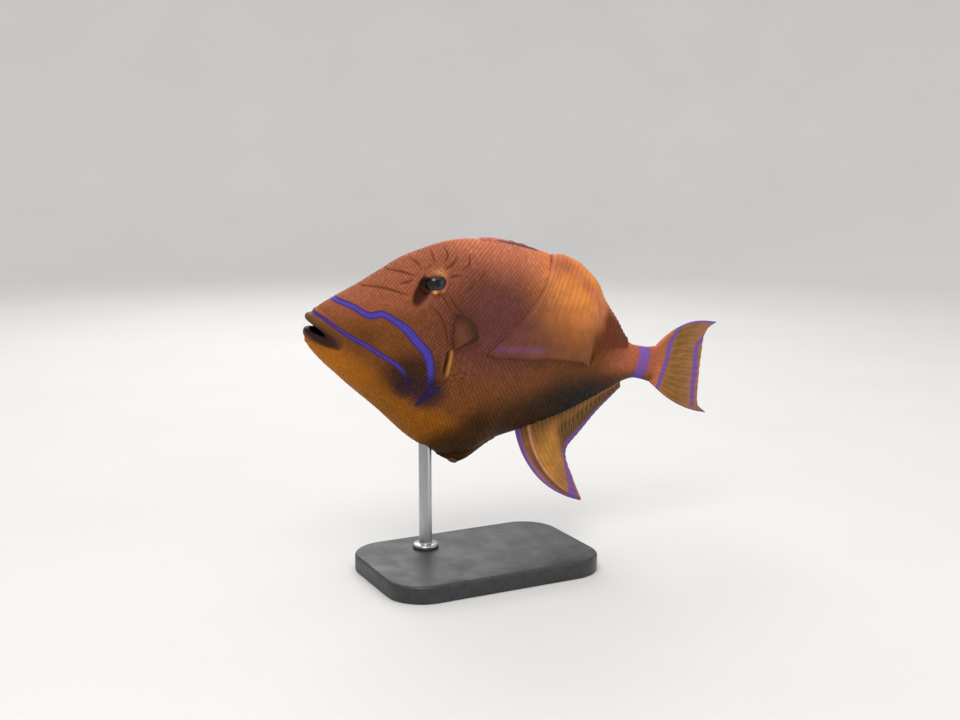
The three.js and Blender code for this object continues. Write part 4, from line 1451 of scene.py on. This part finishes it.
# %% [markdown]
# ## Paint for the fins
# One recipe serves every fin: hues from foot to margin, rays in a hue of their own, a
# darker rear part, clouds, and the violet laid on last. On the back fin and on the fin
# under the tail the darker rear part is painted shade. Fine joints run across the
# rays as bump, since they are too small to be shaped.

# %% Fin paint
FIN_VIOLET = pigment(112, 76, 160)


def fin_paint(name, ray_hue, hues=None, ray_share=0.5, violet_share=0.0, rear=None,
              rear_at=0.0, rear_rise=(0.1, 0.5), strip=None, hem_and_ridge_highlight=None):
    """Paint for a fin: hues of its foot, middle and margin, or the zones of the flank."""
    made, tree, shader = new_material(name, Roughness=0.45, Coat_Weight=0.04,
                                      Coat_Roughness=0.2, Specular_IOR_Level=0.14)
    out = attribute(tree, "out")
    if hues:
        foot, middle, outer = hues
        colour = mixed(tree, ramp(tree, out, 0.0, 0.45), foot, middle)
        colour = mixed(tree, ramp(tree, out, 0.5, 1.0), colour, outer)
    else:
        colour = toned(tree, zoned(tree, noise(tree, 45.0, 3.0)), 0.92)
    if strip:
        colour = mixed(tree, attribute(tree, "strip"), colour, strip)
    if rear:
        across = ramp(tree, attribute(tree, "across"), rear_at, rear_at + 0.12)
        share = math_of(tree, "MULTIPLY", across, ramp(tree, out, *rear_rise, 0.3, 0.97))
        colour = mixed(tree, share, colour, rear)
    ray = math_of(tree, "MULTIPLY", ramp(tree, attribute(tree, "ray"), 0.2, 0.9), ray_share)
    colour = mixed(tree, ray, colour, ray_hue)
    # The back fin's dark hem, and the painted highlight along the fold of the fin under the tail.
    if hem_and_ridge_highlight:
        colour = mixed(tree, math_of(tree, "MULTIPLY", attribute(tree, "hem_and_ridge_highlight"), 0.75), colour, hem_and_ridge_highlight)
    cloud = ramp(tree, noise(tree, 120.0, 3.0), 0.62, 0.38, 0.0, 0.5)
    colour = mixed(tree, cloud, colour, toned(tree, colour, 0.66))
    if violet_share:
        wave = math_of(tree, "MULTIPLY_ADD", noise(tree, 350.0), 1.2, -0.6)
        band = math_of(tree, "ADD", attribute(tree, "violet"), wave)
        colour = mixed(tree, ramp(tree, band, -0.5, 0.5, 0.0, violet_share), colour, FIN_VIOLET)
    tree.links.new(colour, shader.inputs["Base Color"])
    joint = math_of(tree, "SINE", math_of(tree, "MULTIPLY", out, 260.0))
    height = math_of(tree, "MULTIPLY", joint, attribute(tree, "ray"))
    grain = math_of(tree, "ADD", math_of(tree, "MULTIPLY", height, 0.35), noise(tree, 900.0, 3.0))
    bumped(tree, shader, grain, 0.00012, 0.6)
    return made


# The back fin's dark rear part is painted shade, that of the hollow under the folded-over front of
# the fin.
second_dorsal.data.materials.append(fin_paint(
    "back_fin_paint", pigment(148, 84, 46), ray_share=0.26, violet_share=0.2,
    rear=pigment(92, 36, 8), rear_at=0.6, rear_rise=(0.04, 0.3), strip=pigment(178, 94, 78),
    hem_and_ridge_highlight=pigment(96, 54, 38)))
# The dark rear rays of the fin under the tail are painted shade; the pale line along its fold is a
# painted highlight.
anal.data.materials.append(fin_paint(
    "under_fin_paint", pigment(160, 108, 50),
    (pigment(110, 72, 30), pigment(190, 132, 58), pigment(150, 104, 66)), violet_share=0.8,
    rear=pigment(84, 60, 36), rear_at=0.32, strip=pigment(112, 74, 62),
    hem_and_ridge_highlight=pigment(206, 142, 116)))
tail.data.materials.append(fin_paint(
    "tail_fin_paint", pigment(170, 112, 60),
    (pigment(196, 108, 70), pigment(138, 98, 42), pigment(158, 108, 80)), violet_share=0.9))
breast_paint = fin_paint(
    "breast_fin_paint", pigment(92, 52, 36),
    (pigment(126, 72, 46), pigment(112, 66, 44), pigment(62, 32, 22)),
    rear=pigment(58, 28, 18), rear_at=0.82, rear_rise=(-0.2, 0.1))
for piece in pectorals:
    piece.data.materials.append(breast_paint)
print("fins painted:", 3 + len(pectorals))

# %% [markdown]
# ## Spines
# The first back fin is three stout spines folded down into a groove, with a dull
# mauve membrane pinched beside them. The spines are rough as a file. The small knob
# on the flap is the end of the pelvic bone and is rough too. Both are tubes whose
# radius carries rows of small grains.

# %% Folded spines and the pelvic knob
SPINES = ((0.4, 0.148, 2.5), (0.424, 0.118, 2.1), (0.45, 0.088, 1.6))
KNOB_FROM, KNOB_TO = np.array([[0.462, 0, -0.2985], [0.4895, 0, -0.3075]]) * LENGTH


def grainy(path, radius, around=28, grain=0.14):
    """A tube whose surface carries staggered grains."""
    points, quads, tris = tube(path, radius, radius, around, (0, 1, 0))
    n = len(path)
    i, k = np.meshgrid(np.arange(n), np.arange(around), indexing="ij")
    bump = np.cos(math.pi * (i + k % 2)) * np.cos(math.pi * k)
    centre = np.repeat(path, around, axis=0)
    body_part = points[:n * around]
    away = body_part - centre
    r = np.linalg.norm(away, axis=1)[:, None]
    lift = grain * (bump.ravel()[:, None] * 0.5 + 0.5) * np.minimum(1, r)
    points[:n * around] = centre + away / np.maximum(r, 1e-6) * (r + lift)
    return points, quads, tris


def folded_spine(root, length, radius):
    """A spine that lies back in the groove from its root."""
    s = np.linspace(0, 1, 110)
    x = root + length * s
    lift = -0.0056 + 0.0012 * np.sin(math.pi * np.minimum(1, 1.4 * s))
    path = np.stack([x, 0 * x, back(x) + lift], -1) * LENGTH
    return grainy(path, radius * (1 - 0.72 * s ** 1.6) * smooth(-0.02, 0.03, s))


def folded_web(side):
    """A fold of membrane pinched beside the spines."""
    s = np.linspace(0, 1, 80)
    x = lerp(0.41, 0.562, s)
    path = np.stack([x, side * (0.0068 - 0.003 * s), back(x) - 0.002], -1) * LENGTH
    wave = 1 + 0.25 * np.sin(9 * math.pi * s)
    fat = np.sin(math.pi * np.clip(s, 0.02, 0.98)) ** 0.5
    return tube(path, 1.05 * fat * wave, 0.5 * fat, 14, (0, 1, 0))


webs = [folded_web(side) for side in (-1, 1)]
first_dorsal = joined("first_dorsal_fin", [(to_world(p), q, t) for p, q, t in
                                           [folded_spine(*k) for k in SPINES] + webs])
web_points = sum(len(k[0]) for k in webs)
total = len(first_dorsal.data.vertices)
give(first_dorsal, {"web": np.concatenate([np.zeros(total - web_points), np.ones(web_points)])})
finish_piece(first_dorsal, "spine", "first_dorsal_fin")

s = np.linspace(0, 1, 60)
path = KNOB_FROM * (1 - s[:, None]) + KNOB_TO * s[:, None]
radius = 2.1 * np.sqrt(np.maximum(0.06, 1 - (2 * s - 0.9) ** 2 / 1.22))
knob = grainy(path, radius, 30, 0.3)
pelvic = joined("pelvic_spine", [(to_world(knob[0]), knob[1], knob[2])])
KNOB_SHARE = 0.9
give(pelvic, {"knob": np.full(len(knob[0]), KNOB_SHARE)})
finish_piece(pelvic, "spine", "pelvic_spine")

spine_paint, tree, shader = new_material("spine_paint", Roughness=0.5)
colour = mixed(tree, ramp(tree, noise(tree, 500.0, 3.0), 0.35, 0.65), pigment(196, 116, 92),
               pigment(160, 88, 70))
colour = mixed(tree, attribute(tree, "web"), colour, pigment(124, 72, 88))
colour = mixed(tree, attribute(tree, "knob"), colour, pigment(112, 64, 34))
tree.links.new(colour, shader.inputs["Base Color"])
bumped(tree, shader, noise(tree, 1400.0, 3.0), 0.0002, 0.8)
first_dorsal.data.materials.append(spine_paint)
pelvic.data.materials.append(spine_paint)
print("spine points:", total + len(pelvic.data.vertices))

# %% [markdown]
# ## The stand
# A fish that swims needs a plain stand: a heavy plate and one slim rod up into the
# belly. The plate is a rounded oblong with a soft edge, painted satin dark grey, and
# the rod is brushed steel in a small collar.

# %% Base and rod
PLATE_SIZE = (156.0, 104.0, 12.0)
PLATE_CORNER, SOFT_EDGE = 26.0, 2.0
ROD_RADIUS, ROD_IN_BELLY = 4.5, 9


def rounded(half_x, half_y, corner):
    """An oblong outline with round corners, as (x, y) in mm."""
    turns = []
    for q in range(4):
        a = np.linspace(q, q + 1, 24) * math.pi / 2
        sx, sy = (1 if q in (0, 3) else -1), (1 if q in (0, 1) else -1)
        turns.append(np.stack([sx * (half_x - corner) + corner * np.cos(a),
                               sy * (half_y - corner) + corner * np.sin(a)], -1))
    return np.concatenate(turns)


def base_plate():
    """Rings of the plate from its foot up and in over the top, by inset and height."""
    long, wide, thick = PLATE_SIZE
    a = np.linspace(0, math.pi / 2, 7)
    steps = [(1.0, 0.0), (0.3, 0.35), (0.0, 1.0)]
    steps += [(SOFT_EDGE * (1 - math.cos(k)), thick - SOFT_EDGE + SOFT_EDGE * math.sin(k))
              for k in a]
    steps += [(14.0, thick), (30.0, thick)]
    rings = []
    for inset, height in steps:
        flat = rounded(long / 2 - inset, wide / 2 - inset, max(PLATE_CORNER - inset, 1.0))
        rings.append(np.column_stack([flat, np.full(len(flat), height)]))
    return loft(np.array(rings))


points, quads, tris = base_plate()
stand_base = build("stand_base_plate", points * MM, quads, tris)
finish_piece(stand_base, "stand_paint", "stand_base")

rod_top = ROD_AT[2] / MM + ROD_IN_BELLY
foot = ROD_AT / MM
turned_profile = [(12.05, 8.6), (12.1, 9.0), (14.2, 9.0), (14.9, 8.6), (15.2, 7.8), (15.3, 5.2),
                  (15.6, 4.55), (16.0, ROD_RADIUS), (rod_top - 1, ROD_RADIUS), (rod_top, 4.0)]
a = np.linspace(0, 2 * math.pi, 64, endpoint=False)
rings = np.array([np.stack([foot[0] + r * np.cos(a), foot[1] + r * np.sin(a), 0 * a + height], -1)
                  for height, r in turned_profile])
points, quads, tris = loft(rings)
stand_rod = build("stand_rod_and_collar", points * MM, quads, tris)
finish_piece(stand_rod, "stand_steel", "stand_rod")

base_paint, tree, shader = new_material("stand_paint", Roughness=0.45)
colour = mixed(tree, ramp(tree, noise(tree, 260.0, 4.0), 0.35, 0.65), pigment(38, 40, 43),
               pigment(48, 50, 53))
tree.links.new(colour, shader.inputs["Base Color"])
tree.links.new(ramp(tree, noise(tree, 60.0, 3.0), 0.3, 0.7, 0.36, 0.52),
               shader.inputs["Roughness"])
bumped(tree, shader, noise(tree, 2200.0, 2.0), 0.00005, 0.5)
stand_base.data.materials.append(base_paint)
steel, tree, shader = new_material("brushed_steel", Metallic=1.0, Roughness=0.3)
streak = noise(tree, 700.0, 3.0, (1.0, 1.0, 0.02))
tree.links.new(mixed(tree, streak, pigment(150, 152, 156), pigment(196, 198, 200)),
               shader.inputs["Base Color"])
tree.links.new(ramp(tree, streak, 0.2, 0.8, 0.22, 0.42), shader.inputs["Roughness"])
bumped(tree, shader, streak, 0.00004, 0.5)
stand_rod.data.materials.append(steel)
print("rod length:", round(rod_top - PLATE_SIZE[2], 1), "mm")

# %% [markdown]
# ## Floor, light and camera
# The model is shown as in a studio: a wide pale floor that curves up all round, a
# large soft light from above on the fish's left, and weaker ones that keep the far
# side and the belly readable. The camera takes the view of the photograph.


# %% Studio
def studio_floor():
    a = np.linspace(0, 2 * math.pi, 96, endpoint=False)
    turn = np.linspace(0, math.pi / 2, 14)
    steps = [(0.02, 0.0), (0.6, 0.0), (1.4, 0.0)]
    steps += [(1.8 + 0.8 * math.sin(k), 0.8 - 0.8 * math.cos(k)) for k in turn]
    steps += [(2.6, 1.6)]
    rings = np.array([np.stack([r * np.cos(a), r * np.sin(a), 0 * a + h], -1) for r, h in steps])
    n, m = rings.shape[:2]
    at = np.arange(n * m).reshape(n, m)
    turned = np.roll(at, -1, 1)
    quads = np.stack([at[:-1], turned[:-1], turned[1:], at[1:]], -1).reshape(-1, 4)
    hub = np.stack([turned[0], at[0], np.full(m, n * m)], -1)
    return build("studio_floor", np.concatenate([rings.reshape(-1, 3), [[0, 0, 0]]]),
                 quads[:, ::-1], hub[:, ::-1])


floor = studio_floor()
floor_paint, tree, shader = new_material("floor_paint", Roughness=0.75)
tree.links.new(mixed(tree, noise(tree, 6.0, 3.0), pigment(210, 209, 207), pigment(217, 216, 214)),
               shader.inputs["Base Color"])
floor.data.materials.append(floor_paint)


def soft_light(name, place, size, power, aim=(0.03, 0, 0.15), warmth=(1.0, 1.0, 1.0)):
    lamp = bpy.data.lights.new(name, "AREA")
    lamp.shape, lamp.size, lamp.energy, lamp.color = "DISK", size, power, warmth
    made = bpy.data.objects.new(name, lamp)
    bpy.context.collection.objects.link(made)
    made.location = place
    made.rotation_euler = (Vector(aim) - Vector(place)).to_track_quat("-Z", "Y").to_euler()


soft_light("ceiling", (0, 0, 2.3), 4.4, 54.0, (0, 0.001, 0))
soft_light("key", (-0.6, -0.8, 1.35), 0.8, 11.0, warmth=(1.0, 0.97, 0.92))
soft_light("fill", (0.9, -0.9, 0.5), 1.0, 2.0)
soft_light("far_side", (0.3, 1.2, 1.0), 1.0, 7.0)
world = bpy.data.worlds.new("studio")
world.use_nodes = True
world.node_tree.nodes["Background"].inputs[0].default_value = (0.95, 0.96, 1.0, 1.0)
world.node_tree.nodes["Background"].inputs[1].default_value = 0.3
bpy.context.scene.world = world
bpy.context.scene.view_settings.view_transform = "Standard"
print("lights:", len(bpy.data.lights))

# %% Camera
FRAME_WIDTH = 960
FOCAL_PIXELS = 1302.6
PIXELS_PER_LENGTH = 407.05
AIM_LEFT, AIM_DOWN = 9.9, 12.7  # pixels from the middle of the fish
LENGTHS_AWAY = 3.2
AZIMUTH, RAISED = math.radians(-26.56), math.radians(10.0)
away = Vector((math.sin(AZIMUTH) * math.cos(RAISED), -math.cos(AZIMUTH) * math.cos(RAISED),
               math.sin(RAISED)))
right = Vector((math.cos(AZIMUTH), math.sin(AZIMUTH), 0))
upward = away.cross(right)
middle_of_fish = Vector(to_world([0.5 * LENGTH, 0, 0]))
per_pixel = LENGTH * MM / PIXELS_PER_LENGTH
aim = middle_of_fish - right * AIM_LEFT * per_pixel - upward * AIM_DOWN * per_pixel
lens = bpy.data.cameras.new("camera")
lens.sensor_width = 36.0
lens.lens = FOCAL_PIXELS / FRAME_WIDTH * lens.sensor_width
camera = bpy.data.objects.new("camera", lens)
bpy.context.collection.objects.link(camera)
turned = Matrix((right, upward, away)).transposed().to_4x4()
camera.matrix_world = Matrix.Translation(aim + away * LENGTHS_AWAY * LENGTH * MM) @ turned
bpy.context.scene.camera = camera
print("lens:", round(lens.lens, 2), "mm, at", [round(k, 3) for k in camera.location])
